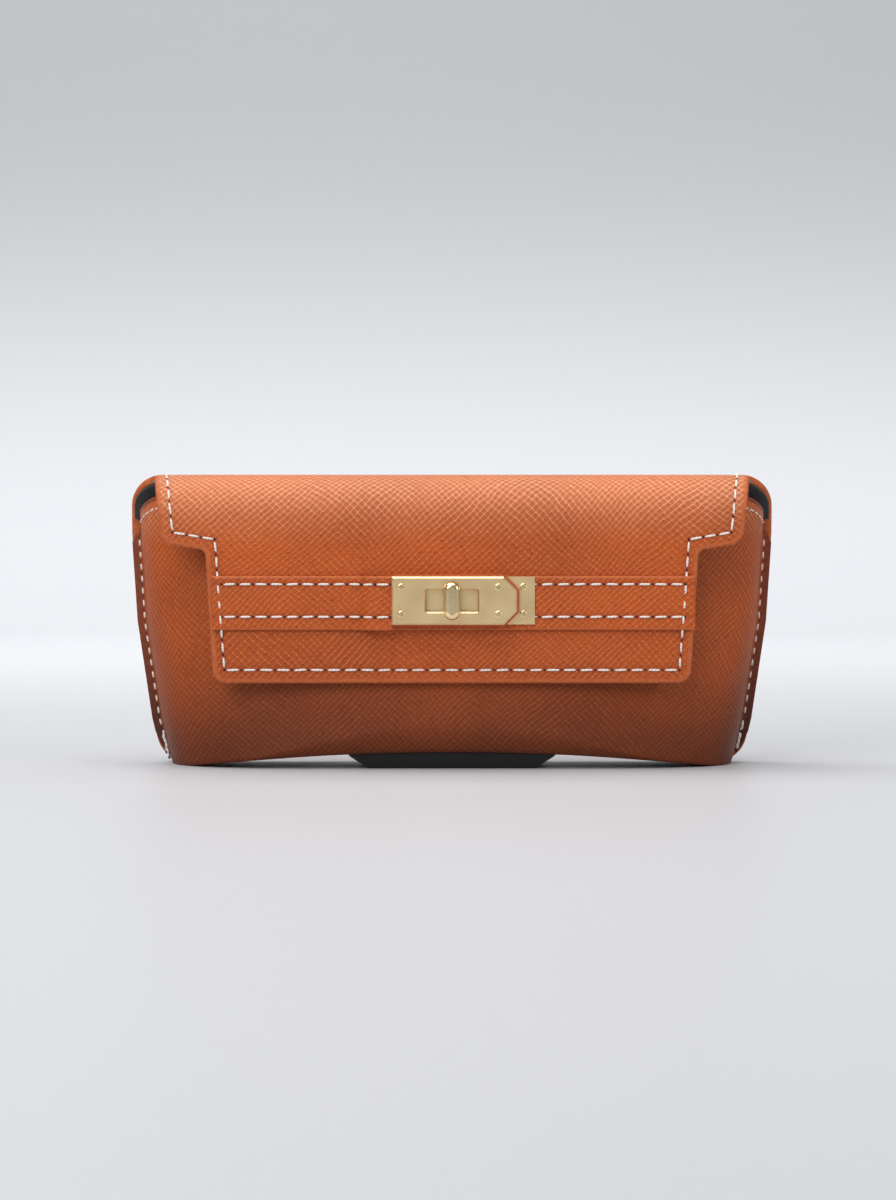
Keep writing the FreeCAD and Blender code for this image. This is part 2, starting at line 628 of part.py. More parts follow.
def hasp_bores(name):
    return [rod(f"{name}_bore_{k}", "Sizes.screw_shank_radius", BASE_AT, "Sizes.pouch_depth", x, z)
            for k, (x, z) in enumerate(hasp_screw_places())]


def bevelled(name, blank):
    """Blank with the edges of its front face and of its window bevelled."""
    front = blank.Shape.BoundBox.YMin
    edges = [k for k, edge in enumerate(blank.Shape.Edges, start=1)
             if edge.BoundBox.YMax < front + 1e-4 and edge.Length > 3 * size("Sizes.hasp_bevel")]
    bevel = size("Sizes.hasp_bevel")
    result = document.addObject("Part::Chamfer", name)
    result.Base = blank
    result.Edges = [(k, bevel, bevel) for k in edges]
    document.recompute()
    return result


def hasp():
    """Leather tab between a thin rear plate and the bevelled front plate, with four screws."""
    tab = plate("tab_blank", hasp_outline("Sizes.tab_rim", "-Sizes.tab_joint"), TAB_AT,
                "Sizes.tab_thick")
    node(cut("tab_cut", tab, window("tab_window", "Sizes.window_margin"), *hasp_bores("tab")),
         "hasp_tab")
    rear = plate("hasp_rear", hasp_outline("-Sizes.hasp_back_inset",
                                           "-Sizes.hasp_left + Sizes.hasp_back_inset"),
                 HASP_BACK_AT, "Sizes.hasp_back_thick")
    node(cut("hasp_rear_cut", rear, window("hasp_rear_window", "0"), *hasp_bores("hasp_rear")),
         "hasp_back_plate")
    front = plate("hasp_front", hasp_outline("0", "-Sizes.hasp_left"), HASP_AT, "Sizes.hasp_thick")
    sharp = cut("hasp_front_open", front, window("hasp_window", "0"))
    node(cut("hasp_front_cut", bevelled("hasp_front_bevel", sharp), *hasp_bores("hasp_front")),
         "hasp_plate")
    face = HASP_AT + " + Sizes.hasp_thick"
    screws = [pan_screw(f"hasp_screw_{k}", face, HASP_BACK_AT, x, z)
              for k, (x, z) in enumerate(hasp_screw_places())]
    node(group("hasp_screws_all", screws), "hasp_screws")


def turning_knob():
    """Upright rounded grip on a round stem, bored for its rivet."""
    low, high = (f"Sizes.clasp_height {sign} Sizes.knob_height / 2" for sign in ("-", "+"))
    grip = plate("grip_blank", box_corners("-Sizes.knob_width / 2", "Sizes.knob_width / 2",
                                           low, high, f"Sizes.knob_width / {GRIP_ROUNDING}"),
                 KNOB_AT, "Sizes.knob_thick")
    front = grip.Shape.BoundBox.YMin
    dome = size("Sizes.knob_dome")
    rounded = document.addObject("Part::Fillet", "grip_dome")
    rounded.Base = grip
    rounded.Edges = [(k, dome, dome) for k, edge in enumerate(grip.Shape.Edges, start=1)
                     if edge.BoundBox.YMax < front + 1e-4]
    stem = rod("stem", "Sizes.stem_radius", WASHER_AT + " + Sizes.washer_thick",
               f"({KNOB_AT}) - ({WASHER_AT}) - Sizes.washer_thick + Sizes.knob_thick / 2")
    bore = rod("grip_bore", "Sizes.rivet_radius", FLAP_IN, "2 * Sizes.pouch_depth")
    node(cut("knob_cut", fuse("knob_whole", rounded, stem), bore), "turn_knob")


def knob_fixings():
    """Spring and washer behind the base plate, and the rivet that holds the knob together."""
    for name, label, radius, at, thick, hole in (
            ("spring", "detent_spring", "Sizes.spring_radius", SPRING_AT, "Sizes.spring_thick",
             "Sizes.stem_radius + Sizes.stem_clear"),
            ("washer", "knob_washer", "Sizes.washer_radius", WASHER_AT, "Sizes.washer_thick",
             "Sizes.rivet_radius")):
        disc = rod(name + "_disc", radius, at, thick)
        hole_rod = rod(name + "_hole", hole, FLAP_IN, "Sizes.pouch_depth")
        node(cut(name + "_ring", disc, hole_rod), label)
    face = KNOB_AT + " + Sizes.knob_thick"
    tail_at = WASHER_AT + " - Sizes.rivet_head_thick"
    shank = rod("rivet_shank", "Sizes.rivet_radius", WASHER_AT, f"({face}) - ({WASHER_AT})")
    tail = rod("rivet_tail", "Sizes.rivet_tail_radius", tail_at, "Sizes.rivet_head_thick")
    head = rod("rivet_head", "Sizes.rivet_head_radius", face, "Sizes.rivet_head_thick")
    node(fuse("rivet_whole", tail, shank, head), "knob_rivet")


def check_document():
    """Stop if any object failed, or if a finished piece is empty or invalid."""
    for item in document.Objects:
        if any(word in str(item.State) for word in ("Invalid", "Error")):
            raise RuntimeError(f"{item.Name} failed: {item.State}")
    for piece in nodes:
        if piece.Shape.isNull() or not piece.Shape.isValid() or not piece.Shape.Solids:
            raise RuntimeError(f"{piece.Label} has no valid solid")


back_leather()
back_stiffening()
front_panels()
all_magnets()
flap()
strap_left()
strap_right()
base_backing()
base_plate()
base_screws()
hasp()
turning_knob()
knob_fixings()
document.recompute()
check_document()

os.makedirs("parts", exist_ok=True)
for piece in nodes:
    piece.Shape.exportStep(f"parts/{piece.Label}.step")
    box = piece.Shape.BoundBox
    print(f"{piece.Label:26s} solids {len(piece.Shape.Solids)}  volume {piece.Shape.Volume:9.2f}"
          f"  x {box.XMin:7.2f} {box.XMax:7.2f}  y {box.YMin:7.2f} {box.YMax:7.2f}"
          f"  z {box.ZMin:7.2f} {box.ZMax:7.2f}")
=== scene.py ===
"""Looks of a magnetic flap case for eyeglasses: grained leather, stitching, a turn-lock clasp and a studio.

Lengths are metres in the case's own frame: +X to its right seen from the front, +Y to its back, +Z up.
"""

import math

import bmesh
import bpy
import numpy as np
from bpy.props import FloatProperty, FloatVectorProperty, IntProperty, PointerProperty
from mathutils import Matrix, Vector
from mathutils.geometry import delaunay_2d_cdt


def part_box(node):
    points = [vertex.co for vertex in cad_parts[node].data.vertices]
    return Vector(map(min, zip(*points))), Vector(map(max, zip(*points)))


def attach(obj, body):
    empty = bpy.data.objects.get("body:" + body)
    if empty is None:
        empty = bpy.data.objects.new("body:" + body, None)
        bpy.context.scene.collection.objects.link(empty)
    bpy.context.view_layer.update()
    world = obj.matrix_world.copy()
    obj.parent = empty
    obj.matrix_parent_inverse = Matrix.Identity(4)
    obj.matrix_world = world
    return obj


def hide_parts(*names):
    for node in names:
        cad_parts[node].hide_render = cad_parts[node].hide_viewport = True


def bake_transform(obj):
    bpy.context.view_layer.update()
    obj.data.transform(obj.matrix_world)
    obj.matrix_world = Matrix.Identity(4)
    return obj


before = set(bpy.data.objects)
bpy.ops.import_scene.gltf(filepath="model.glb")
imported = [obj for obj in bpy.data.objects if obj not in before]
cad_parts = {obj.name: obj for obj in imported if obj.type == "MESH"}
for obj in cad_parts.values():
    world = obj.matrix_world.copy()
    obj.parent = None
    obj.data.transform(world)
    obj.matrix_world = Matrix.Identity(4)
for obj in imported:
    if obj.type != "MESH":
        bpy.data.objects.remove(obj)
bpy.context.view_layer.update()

bl_info = {
    "name": "Eyeglasses Case Workshop",
    "version": (1, 0, 0),
    "blender": (4, 5, 0),
    "location": "View3D > Sidebar > Eyeglasses Case",
    "description": "Builds the leather, stitching and metalwork of a flap case for eyeglasses",
    "category": "Object",
}

MM = 0.001


def low(node):
    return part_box(node)[0]


def high(node):
    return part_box(node)[1]


# ------------------------------------------------------------------ sizes read from the frame
BACK_Y = high("back_leather").y                    # outer face of the back
TOP_Z = high("flap_leather").z                     # top of the arch
FLAP_FRONT = BACK_Y - low("flap_leather").y        # outer face of the tongue, in front of the back
SEAM_HALF = high("back_leather").x                 # half the width at the top of the side seams
TONGUE_FOOT = low("flap_leather").z
STRAP_LOW, STRAP_HIGH = low("strap_right").z, high("strap_right").z
PANEL_TOP = high("back_leather").z
BACK_SKIN = high("back_leather").y - low("back_leather").y
STRAP_THICK = high("strap_right").y - low("strap_right").y
STRAP_FRONT = BACK_Y - low("strap_right").y        # outer face of the flat strap
TAB_BACK = BACK_Y - high("hasp_tab").y             # rear face of the clasp's leather tab
TAB_FRONT = BACK_Y - low("hasp_tab").y
CLASP_Z = (low("hasp_plate").z + high("hasp_plate").z) / 2

# side view of the cover: two rounds over the top
REAR_ROUND = 9.0 * MM
FRONT_ROUND = 10.5 * MM
REAR_TOP = TOP_Z - REAR_ROUND
V_TOP = REAR_TOP + REAR_ROUND * math.pi / 2
V_BROW = V_TOP + FLAP_FRONT - REAR_ROUND - FRONT_ROUND
V_FRONT = V_BROW + FRONT_ROUND * math.pi / 2
COVER_SKIN = 2.0 * MM                              # leather with the board inside it
LINING = 0.7 * MM

# outline of the sewn panels, half widths at four heights
SEAM_HEIGHTS = [0.0, 11.5 * MM, 37.0 * MM, 60.0 * MM]
SEAM_HALVES = [75.7 * MM, 78.5 * MM, 82.3 * MM, SEAM_HALF]
SEAM_TOP = SEAM_HEIGHTS[-1]
SEAM_FIN = 2.6 * MM
CORNER_ROUND = 8.0 * MM
ARCH_HALF = 69.0 * MM
ARCH_RISE = 4.3 * MM
EAR_ROUND = SEAM_HALF - 76.1 * MM

# outline of the flap
FLAP_HALF_TOP = 76.1 * MM
STEP_OUT = (74.0 * MM, 58.0 * MM)
STEP_IN = (62.9 * MM, 56.2 * MM)
TONGUE_HALF = 60.8 * MM
STEP_ROUND, NOTCH_ROUND, TONGUE_ROUND = 4.0 * MM, 1.6 * MM, 3.5 * MM

# moulded pouch
POUCH_DEPTH = 35.0 * MM
MOUTH_DRAW = 3.5 * MM
BELLY_Z = 25.0 * MM
MOUTH_Z = 70.0 * MM
MOUTH_HALF = 82.6 * MM
MOUTH_ROUND = 8.5 * MM
FOLD_ROUND = 12.0 * MM
BULGE = 2.8
SKIN = 1.3 * MM
FORMER = 0.8 * MM


# ------------------------------------------------------------------ sizes and colours a user may change
def colour(name, value, description):
    return FloatVectorProperty(name=name, description=description, subtype="COLOR", size=3,
                               min=0.0, max=1.0, default=value)


def length(name, millimetres, description):
    return FloatProperty(name=name, description=description, default=millimetres * MM, min=0.0,
                         precision=5, subtype="DISTANCE", unit="LENGTH")


class CaseLeather(bpy.types.PropertyGroup):
    """Colours and grain of the leather."""
    tan: colour("Tan", (0.430, 0.074, 0.009), "Colour of the leather between its ridges")
    # ridge colour: painted highlight on the grain's ridge tops
    ridge_highlight: colour("Ridge", (0.86, 0.27, 0.085), "Colour of the worn ridges of the grain")
    # crease colour: painted shade for the grain's creases, the stitch channels and the needle holes
    crease_shade: colour("Crease", (0.170, 0.024, 0.004), "Colour in the creases of the grain")
    paint: colour("Edge paint", (0.48, 0.110, 0.030), "Colour of the painted edges")
    fin_paint: colour("Seam edge paint", (0.22, 0.048, 0.018), "Colour of the side seams' painted edges")
    suede: colour("Suede", (0.022, 0.022, 0.023), "Colour of the suede lining")
    grain: length("Grain", 1.2, "Distance between two ridges of the grain")
    relief: length("Relief", 0.16, "Height of the grain")
    paint_width: length("Painted margin", 1.15, "Width of the smooth painted margin")


class CaseThread(bpy.types.PropertyGroup):
    """Thread and stitch lengths."""
    thread: colour("Thread", (0.86, 0.79, 0.73), "Colour of the sewing thread")
    thickness: length("Thickness", 0.60, "Thickness of the thread")
    bottom_pitch: length("Bottom pitch", 4.15, "Distance between stitches along the tongue's foot")
    strap_pitch: length("Strap pitch", 3.88, "Distance between stitches along the straps")
    side_pitch: length("Side pitch", 3.65, "Distance between stitches along the flap's sides")
    seam_pitch: length("Seam pitch", 3.1, "Distance between stitches of the side seams")
    slant: FloatProperty(name="Slant", description="How far a stitch leans off its line",
                         default=0.05, min=0.0, max=0.5)
    seed: IntProperty(name="Seed", description="Seed of the stitches' small differences", default=7)


class CaseMetal(bpy.types.PropertyGroup):
    """Finish of the metal parts."""
    gold: colour("Gold", (0.98, 0.71, 0.38), "Colour of the satin gold plates")
    bright_gold: colour("Bright gold", (0.96, 0.75, 0.42), "Colour of the polished gold parts")
    steel: colour("Steel", (0.52, 0.52, 0.54), "Colour of the hidden steel parts")


class CaseStudio(bpy.types.PropertyGroup):
    """Studio around the case."""
    floor: colour("Floor", (0.555, 0.562, 0.578), "Colour of the floor")
    top_light: FloatProperty(name="Top light", description="Power of the soft light above",
                             default=10.5, min=0.0, unit="POWER")
    front_light: FloatProperty(name="Front light", description="Power of the soft light in front",
                               default=7.0, min=0.0, unit="POWER")
    elevation: FloatProperty(name="Elevation", description="Height of the camera above the horizon",
                             default=math.radians(1.8), subtype="ANGLE", unit="ROTATION")


def setting(group):
    return getattr(bpy.context.scene, "eyeglasses_case_" + group)


# ------------------------------------------------------------------ shader maths
class Amount:
    """A shader's number socket that adds Math nodes when it is used in an expression."""

    def __init__(self, finish, socket):
        self.finish = finish
        self.socket = socket

    def maths(self, operation, *values, clamp=False):
        node = self.finish.node("ShaderNodeMath", {"operation": operation, "use_clamp": clamp},
                                dict(enumerate(values)))
        return Amount(self.finish, node.outputs[0])

    def __add__(self, other):
        return self.maths("ADD", self, other)

    __radd__ = __add__

    def __sub__(self, other):
        return self.maths("SUBTRACT", self, other)

    def __rsub__(self, other):
        return self.maths("SUBTRACT", other, self)

    def __mul__(self, other):
        return self.maths("MULTIPLY", self, other)

    __rmul__ = __mul__

    def __truediv__(self, other):
        return self.maths("DIVIDE", self, other)

    def __pow__(self, other):
        return self.maths("POWER", self, other)

    def wave(self):
        """Ridges one unit apart, from 0 between them to 1 on top."""
        return self.maths("PINGPONG", self, 0.5) * 2.0

    def sine(self):
        return self.maths("SINE", self)

    def limited(self):
        return self.maths("ADD", self, 0.0, clamp=True)

    def between(self, start, end):
        """0 at start, 1 at end, and smooth in between."""
        node = self.finish.node("ShaderNodeMapRange", {"interpolation_type": "SMOOTHSTEP"},
                                {"Value": self, "From Min": start, "From Max": end})
        return Amount(self.finish, node.outputs[0])


class Finish:
    """A material that is being put together."""

    def __init__(self, name):
        self.material = bpy.data.materials.new(name)
        self.material.use_nodes = True
        self.tree = self.material.node_tree
        self.tree.nodes.clear()

    def node(self, kind, settings=None, inputs=None):
        """Adds a node, sets its settings and then its sockets."""
        made = self.tree.nodes.new(kind)
        for key, value in (settings or {}).items():
            setattr(made, key, value)
        for key, value in (inputs or {}).items():
            socket = made.inputs[key]
            value = getattr(value, "socket", value)
            if isinstance(value, bpy.types.NodeSocket):
                self.tree.links.new(value, socket)
            else:
                socket.default_value = value
        return made

    def amount(self, kind, settings, inputs, output=0):
        return Amount(self, self.node(kind, settings, inputs).outputs[output])

    def attribute(self, name):
        return self.amount("ShaderNodeAttribute", {"attribute_name": name}, {}, "Fac")

    def in_object(self):
        """Place in the piece's own space, in metres."""
        return self.node("ShaderNodeTexCoord").outputs["Object"]

    def on_pattern(self):
        """Place on the flat pattern, in millimetres."""
        flat = self.node("ShaderNodeUVMap", {"uv_map": "pattern"}).outputs[0]
        return self.scaled(flat, 1.0 / MM)

    def scaled(self, vector, factor):
        return self.node("ShaderNodeVectorMath", {"operation": "SCALE"},
                         {0: vector, "Scale": factor}).outputs[0]

    def summed(self, first, second):
        return self.node("ShaderNodeVectorMath", {"operation": "ADD"}, {0: first, 1: second}).outputs[0]

    def dot(self, vector, direction):
        return self.amount("ShaderNodeVectorMath", {"operation": "DOT_PRODUCT"},
                           {0: vector, 1: direction}, "Value")

    def noise(self, vector, scale, detail=2.0, roughness=0.5):
        return self.amount("ShaderNodeTexNoise", {"noise_dimensions": "3D"},
                           {"Vector": vector, "Scale": scale, "Detail": detail, "Roughness": roughness})

    def drift(self, vector, scale, reach):
        """Vector moved about by up to half of reach, smoothly over 1 / scale."""
        made = self.node("ShaderNodeTexNoise", {"noise_dimensions": "3D"},
                         {"Vector": vector, "Scale": scale, "Detail": 1.0})
        centred = self.node("ShaderNodeVectorMath", {"operation": "SUBTRACT"},
                            {0: made.outputs["Color"], 1: (0.5, 0.5, 0.5)})
        return self.scaled(centred.outputs[0], reach)

    def mix(self, factor, first, second):
        node = self.node("ShaderNodeMix", {"data_type": "RGBA"}, {})
        for index, value in ((0, factor), (6, first), (7, second)):
            value = getattr(value, "socket", value)
            if isinstance(value, bpy.types.NodeSocket):
                self.tree.links.new(value, node.inputs[index])
            elif index:
                node.inputs[index].default_value = (*value, 1.0) if len(value) == 3 else value
            else:
                node.inputs[index].default_value = value
        return node.outputs[2]

    def bump(self, height, distance, strength=1.0):
        return self.node("ShaderNodeBump", {}, {"Strength": strength, "Distance": distance,
                                               "Height": height}).outputs[0]

    def surface(self, **sockets):
        """Closes the material with one principled shader; underscores stand for spaces."""
        named = {key.replace("_", " "): value for key, value in sockets.items()}
        shader = self.node("ShaderNodeBsdfPrincipled", {}, named)
        self.node("ShaderNodeOutputMaterial", {}, {"Surface": shader.outputs[0]})
        return self.material


def shared(name, make, *settings):
    """The material of that name, made the first time it is asked for."""
    return bpy.data.materials.get(name) or make(name, *settings)


# ------------------------------------------------------------------ materials
GRAIN_LEAN = math.radians(43.0)       # ridges' angle off the sheet's length
SECOND_SPACING = 1.15                 # spacing of the second set of ridges over the first
TOP_HIGHLIGHT_TINT = (0.93, 0.46, 0.24, 1.0)  # painted highlight: lighter leather over the top, where the top light falls


def grain_height(finish, place):
    """Cross-hatched grain over a flat pattern in millimetres: (height, ridges, pebble, fine)."""
    leather = setting("leather")
    spacing = leather.grain / MM
    moved = finish.summed(place, finish.drift(place, 0.028, 8.0))
    moved = finish.summed(moved, finish.drift(place, 0.30, 0.75))
    moved = finish.summed(moved, finish.drift(place, 1.5, 0.34))
    across, along = math.sin(GRAIN_LEAN) / spacing, math.cos(GRAIN_LEAN) / spacing
    climbing = finish.dot(moved, (across, along, 0.0))
    falling = finish.dot(moved, (-across / SECOND_SPACING, along / SECOND_SPACING, 0.0))
    zone = finish.noise(place, 0.055, 1.0).between(0.36, 0.60)
    patch = finish.noise(place, 0.42, 2.0)
    first = climbing.wave() ** 4.5 * (0.62 + 0.38 * zone)
    second = falling.wave() ** 4.0 * (0.88 - 0.28 * zone) * (0.50 + 0.50 * patch.between(0.34, 0.58))
    stretched = finish.node("ShaderNodeCombineXYZ", {}, {0: falling, 1: climbing})
    pebble = finish.amount("ShaderNodeTexVoronoi", {"feature": "F1", "voronoi_dimensions": "2D"},
                           {"Vector": stretched.outputs[0], "Scale": 1.0, "Randomness": 0.45}, "Distance")
    fine = finish.noise(place, 5.5, 3.0, 0.6)
    ridges = (first + second).limited()
    height = ridges * 0.62 + (0.75 - pebble) * 0.36 + fine * 0.16
    return height, ridges, pebble, fine


def leather_finish(name, paint, tone=1.0, lip=1.0, painted_low_shade=1.0, fin=None):
    """Grained leather with a smooth painted margin, over the flat pattern stored as a UV map."""
    leather = setting("leather")
    finish = Finish(name)
    place = finish.on_pattern()
    margin = finish.attribute("margin") / MM
    uneven = finish.noise(place, 0.5, 2.0) - 0.5
    width = lip * leather.paint_width / MM
    painted = 1.0 - (margin + uneven * 0.35).between(width - 0.22, width + 0.22)
    height, ridges, pebble, fine = grain_height(finish, place)
    cloud = finish.noise(place, 0.03, 3.0, 0.55)
    body = finish.mix(cloud.between(0.3, 0.7), [tone * 0.86 * c for c in leather.tan],
                      [tone * 1.10 * c for c in leather.tan])
    # painted shade: the creases between the grain's pebbles darkened towards the crease colour
    hollow_shade = (pebble - 0.42).between(0.0, 0.42) * (1.0 - ridges)
    body = finish.mix(hollow_shade * 0.62, body, [tone * c for c in leather.crease_shade])
    # painted highlight: the grain's ridge tops lightened towards the ridge colour
    highlighted = ridges.between(0.30, 0.90) * (0.22 + 0.50 * fine)
    body = finish.mix(highlighted, body, [tone * c for c in leather.ridge_highlight])
    streak = finish.noise(place, 0.8, 3.0, 0.6)
    edge = finish.mix(streak.between(0.25, 0.75), [0.82 * c for c in paint], [1.16 * c for c in paint])
    if fin:
        on_fin = 1.0 - (margin + 0.25).between(-0.15, 0.15)
        edge = finish.mix(on_fin, edge, finish.mix(streak.between(0.25, 0.75), [0.75 * c for c in fin],
                                                   [1.2 * c for c in fin]))
    # painted shade in the channels that the stitches press into the leather
    stitch_shade = finish.attribute("hollow_shade")
    body = finish.mix(stitch_shade * 0.35, body, [tone * c for c in leather.crease_shade])
    tint = finish.mix(painted, body, edge)
    where = finish.in_object()
    rise = finish.dot(where, (0.0, 0.0, 1.0)) + (cloud - 0.5) * 6.0 * MM
    # painted shade: the leather's colour is darker towards the bottom, from 40 mm down to 2 mm
    tint = finish.mix(rise.between(2.0 * MM, 40.0 * MM), finish.scaled(tint, painted_low_shade), tint)
    # painted highlight: ridges lightened over the top, where the top light falls
    crown = rise.between(56.0 * MM, 74.0 * MM) * (0.12 + 0.62 * ridges)
    tint = finish.mix(crown * (1.0 - painted), tint, TOP_HIGHLIGHT_TINT)
    worn_paint = fine * 0.10 + finish.noise(place, 1.4, 2.0) * 0.18
    relief = height * (1.0 - painted) + worn_paint * painted
    rough = 0.50 - 0.14 * ridges + 0.10 * fine
    rough = rough * (1.0 - painted) + (0.36 + 0.14 * streak) * painted
    return finish.surface(Base_Color=tint, Roughness=rough, IOR=1.46, Specular_IOR_Level=0.30,
                          Normal=finish.bump(relief, leather.relief, 0.9))


def suede_finish(name, tone=1.0):
    leather = setting("leather")
    finish = Finish(name)
    place = finish.on_pattern()
    nap = finish.noise(place, 4.2, 4.0, 0.7)
    brushed = finish.noise(place, 0.12, 2.0)
    tint = finish.mix(nap.between(0.42, 0.78), [0.55 * c for c in leather.suede],
                      [3.2 * c for c in leather.suede])
    tint = finish.mix(brushed.between(0.35, 0.65) * 0.35, tint, [2.0 * c for c in leather.suede])
    tint = finish.scaled(tint, tone)
    return finish.surface(Base_Color=tint, Roughness=0.88 + 0.1 * nap, Sheen_Weight=0.25 * tone,
                          Sheen_Roughness=0.5, Normal=finish.bump(nap, 0.12 * MM, 0.8))


def thread_finish(name):
    """Twisted waxed thread, over the length and the turn stored on each stitch."""
    finish = Finish(name)
    thread = setting("thread").thread
    along, turn = finish.attribute("along"), finish.attribute("turn")
    twist = ((along * 3.2 + turn) * math.tau).sine() * 0.5 + 0.5
    where = finish.in_object()
    dust = finish.noise(where, 900.0, 2.0)
    tint = finish.mix(twist, [0.74 * c for c in thread], [min(1.0, 1.08 * c) for c in thread])
    tint = finish.mix(dust.between(0.5, 0.8) * 0.35, tint, (0.62, 0.36, 0.26))
    return finish.surface(Base_Color=tint, Roughness=0.55 + 0.15 * dust,
                          Normal=finish.bump(twist, 0.07 * MM, 0.8))


def metal_finish(name, tint, roughness, brush, marks):
    """Plated metal: a fine brushed grain, faint clouding and small marks in the gloss."""
    finish = Finish(name)
    where = finish.in_object()
    stretch = finish.node("ShaderNodeMapping", {}, {"Vector": where, "Scale": (220.0, 2500.0, 5200.0)})
    hair = finish.noise(stretch.outputs[0], 1.0, 3.0, 0.6)
    cloud = finish.noise(where, 160.0, 3.0)
    fleck = finish.noise(where, 2600.0, 2.0).between(0.62, 0.80)
    body = finish.mix(cloud.between(0.3, 0.7), [0.94 * c for c in tint], [min(1.0, 1.05 * c) for c in tint])
    body = finish.mix(fleck * marks, body, [0.55 * c for c in tint])
    rough = roughness + (hair - 0.5) * brush + fleck * marks * 0.3 + (cloud - 0.5) * 0.06
    return finish.surface(Base_Color=body, Metallic=1.0, Roughness=rough,
                          Normal=finish.bump(hair, 0.012 * MM, brush))


def board_finish(name):
    """Pressed fibre board."""
    finish = Finish(name)
    where = finish.in_object()
    fibres = finish.noise(where, 900.0, 5.0, 0.7)
    flakes = finish.noise(where, 260.0, 2.0)
    tint = finish.mix(fibres.between(0.3, 0.7), (0.20, 0.13, 0.075, 1.0), (0.36, 0.26, 0.16, 1.0))
    tint = finish.mix(flakes.between(0.58, 0.7) * 0.5, tint, (0.12, 0.08, 0.05, 1.0))
    return finish.surface(Base_Color=tint, Roughness=0.75 + 0.15 * fibres,
                          Normal=finish.bump(fibres, 0.06 * MM, 0.7))


def hole_finish(name):
    """Painted shade inside a needle hole, mottled."""
    finish = Finish(name)
    where = finish.in_object()
    # mottle of the painted shade
    shade_mottle = finish.noise(where, 1500.0, 2.0)
    crease_shade = setting("leather").crease_shade
    tint = finish.mix(shade_mottle, [0.12 * c for c in crease_shade], [0.5 * c for c in crease_shade])
    return finish.surface(Base_Color=tint, Roughness=0.8 + 0.1 * shade_mottle)


def studio_finish(name):
    """Pale seamless paper: a little gloss on the floor, a painted light band where it turns up, and painted
    shade, greyer, above.
    """
    finish = Finish(name)
    studio = setting("studio")
    where = finish.in_object()
    split = finish.node("ShaderNodeSeparateXYZ", {}, {"Vector": where})
    rise = Amount(finish, split.outputs[2])
    away = Amount(finish, split.outputs[1])
    # painted light: a brighter band where the floor turns up into the backdrop
    painted_light_band = away.between(0.10, 0.85) * (1.0 - rise.between(0.03, 0.30))
    # painted shade: greyer higher up the backdrop
    painted_shade_above = rise.between(0.0, 0.42)
    tooth = finish.noise(where, 260.0, 3.0)
    floor = list(studio.floor)
    body = finish.mix(tooth, [0.985 * c for c in floor], [1.015 * c for c in floor])
    body = finish.mix(painted_light_band, body, [min(1.0, 1.55 * c) for c in floor])
    body = finish.mix(painted_shade_above * 0.9, body, [0.84 * c for c in floor])
    return finish.surface(Base_Color=body, Roughness=0.42 + 0.06 * tooth, Specular_IOR_Level=0.30)


# ------------------------------------------------------------------ meshes
def new_piece(name, points, faces, materials, smooth=True):
    """A mesh object at the origin whose faces point outwards."""
    mesh = bpy.data.meshes.new(name)
    mesh.from_pydata([tuple(p) for p in points], [], [list(f) for f in faces])
    piece = bpy.data.objects.new(name, mesh)
    bpy.context.scene.collection.objects.link(piece)
    for material in materials:
        mesh.materials.append(material)
    if smooth:
        mesh.shade_smooth()
    return piece


def store(piece, name, kind, values):
    """Keeps one value for each vertex."""
    attribute = piece.data.attributes.new(name, kind, "POINT")
    field = "vector" if kind == "FLOAT_VECTOR" else "value"
    attribute.data.foreach_set(field, np.asarray(values, np.float32).ravel())


def store_pattern(piece, flat):
    """Keeps the flat pattern, one place for each vertex, as the UV map that the leather follows."""
    layer = piece.data.uv_layers.new(name="pattern")
    corners = np.zeros(len(piece.data.loops), np.int32)
    piece.data.loops.foreach_get("vertex_index", corners)
    layer.data.foreach_set("uv", np.asarray(flat, np.float32)[corners].ravel())


def face_outwards(piece, merge=None):
    shape = bmesh.new()
    shape.from_mesh(piece.data)
    if merge:
        bmesh.ops.remove_doubles(shape, verts=shape.verts, dist=merge)
    bmesh.ops.recalc_face_normals(shape, faces=shape.faces)
    shape.to_mesh(piece.data)
    shape.free()


def in_body(forward):
    """Y of a place `forward` in front of the back."""
    return BACK_Y - forward


# ------------------------------------------------------------------ outlines
def rounded(corners, step):
    """Points round a closed outline whose corners are (x, y, radius), no further apart than step."""
    points = []
    count = len(corners)
    for k, (x, y, radius) in enumerate(corners):
        here = Vector((x, y))
        if radius <= 0:
            points.append(here)
            continue
        before = (Vector(corners[k - 1][:2]) - here).normalized()
        after = (Vector(corners[(k + 1) % count][:2]) - here).normalized()
        half = before.angle(after) / 2
        reach = radius / math.tan(half)
        centre = here + (before + after).normalized() * (radius / math.sin(half))
        start = here + before * reach - centre
        turn = start.angle_signed(here + after * reach - centre)
        steps = max(4, int(abs(turn) * radius / step) + 1)
        for s in range(steps + 1):
            a = -turn * s / steps
            points.append(centre + Vector((start.x * math.cos(a) - start.y * math.sin(a),
                                           start.x * math.sin(a) + start.y * math.cos(a))))
    dense = []
    for k, point in enumerate(points):
        following = points[(k + 1) % len(points)]
        parts = max(1, math.ceil((following - point).length / step))
        for s in range(parts):
            dense.append(point.lerp(following, s / parts))
    kept = [dense[0]]
    for point in dense[1:]:
        if (point - kept[-1]).length > 0.02 * MM:
            kept.append(point)
    if (kept[-1] - kept[0]).length < 0.02 * MM:
        kept.pop()
    return np.array([tuple(p) for p in kept])


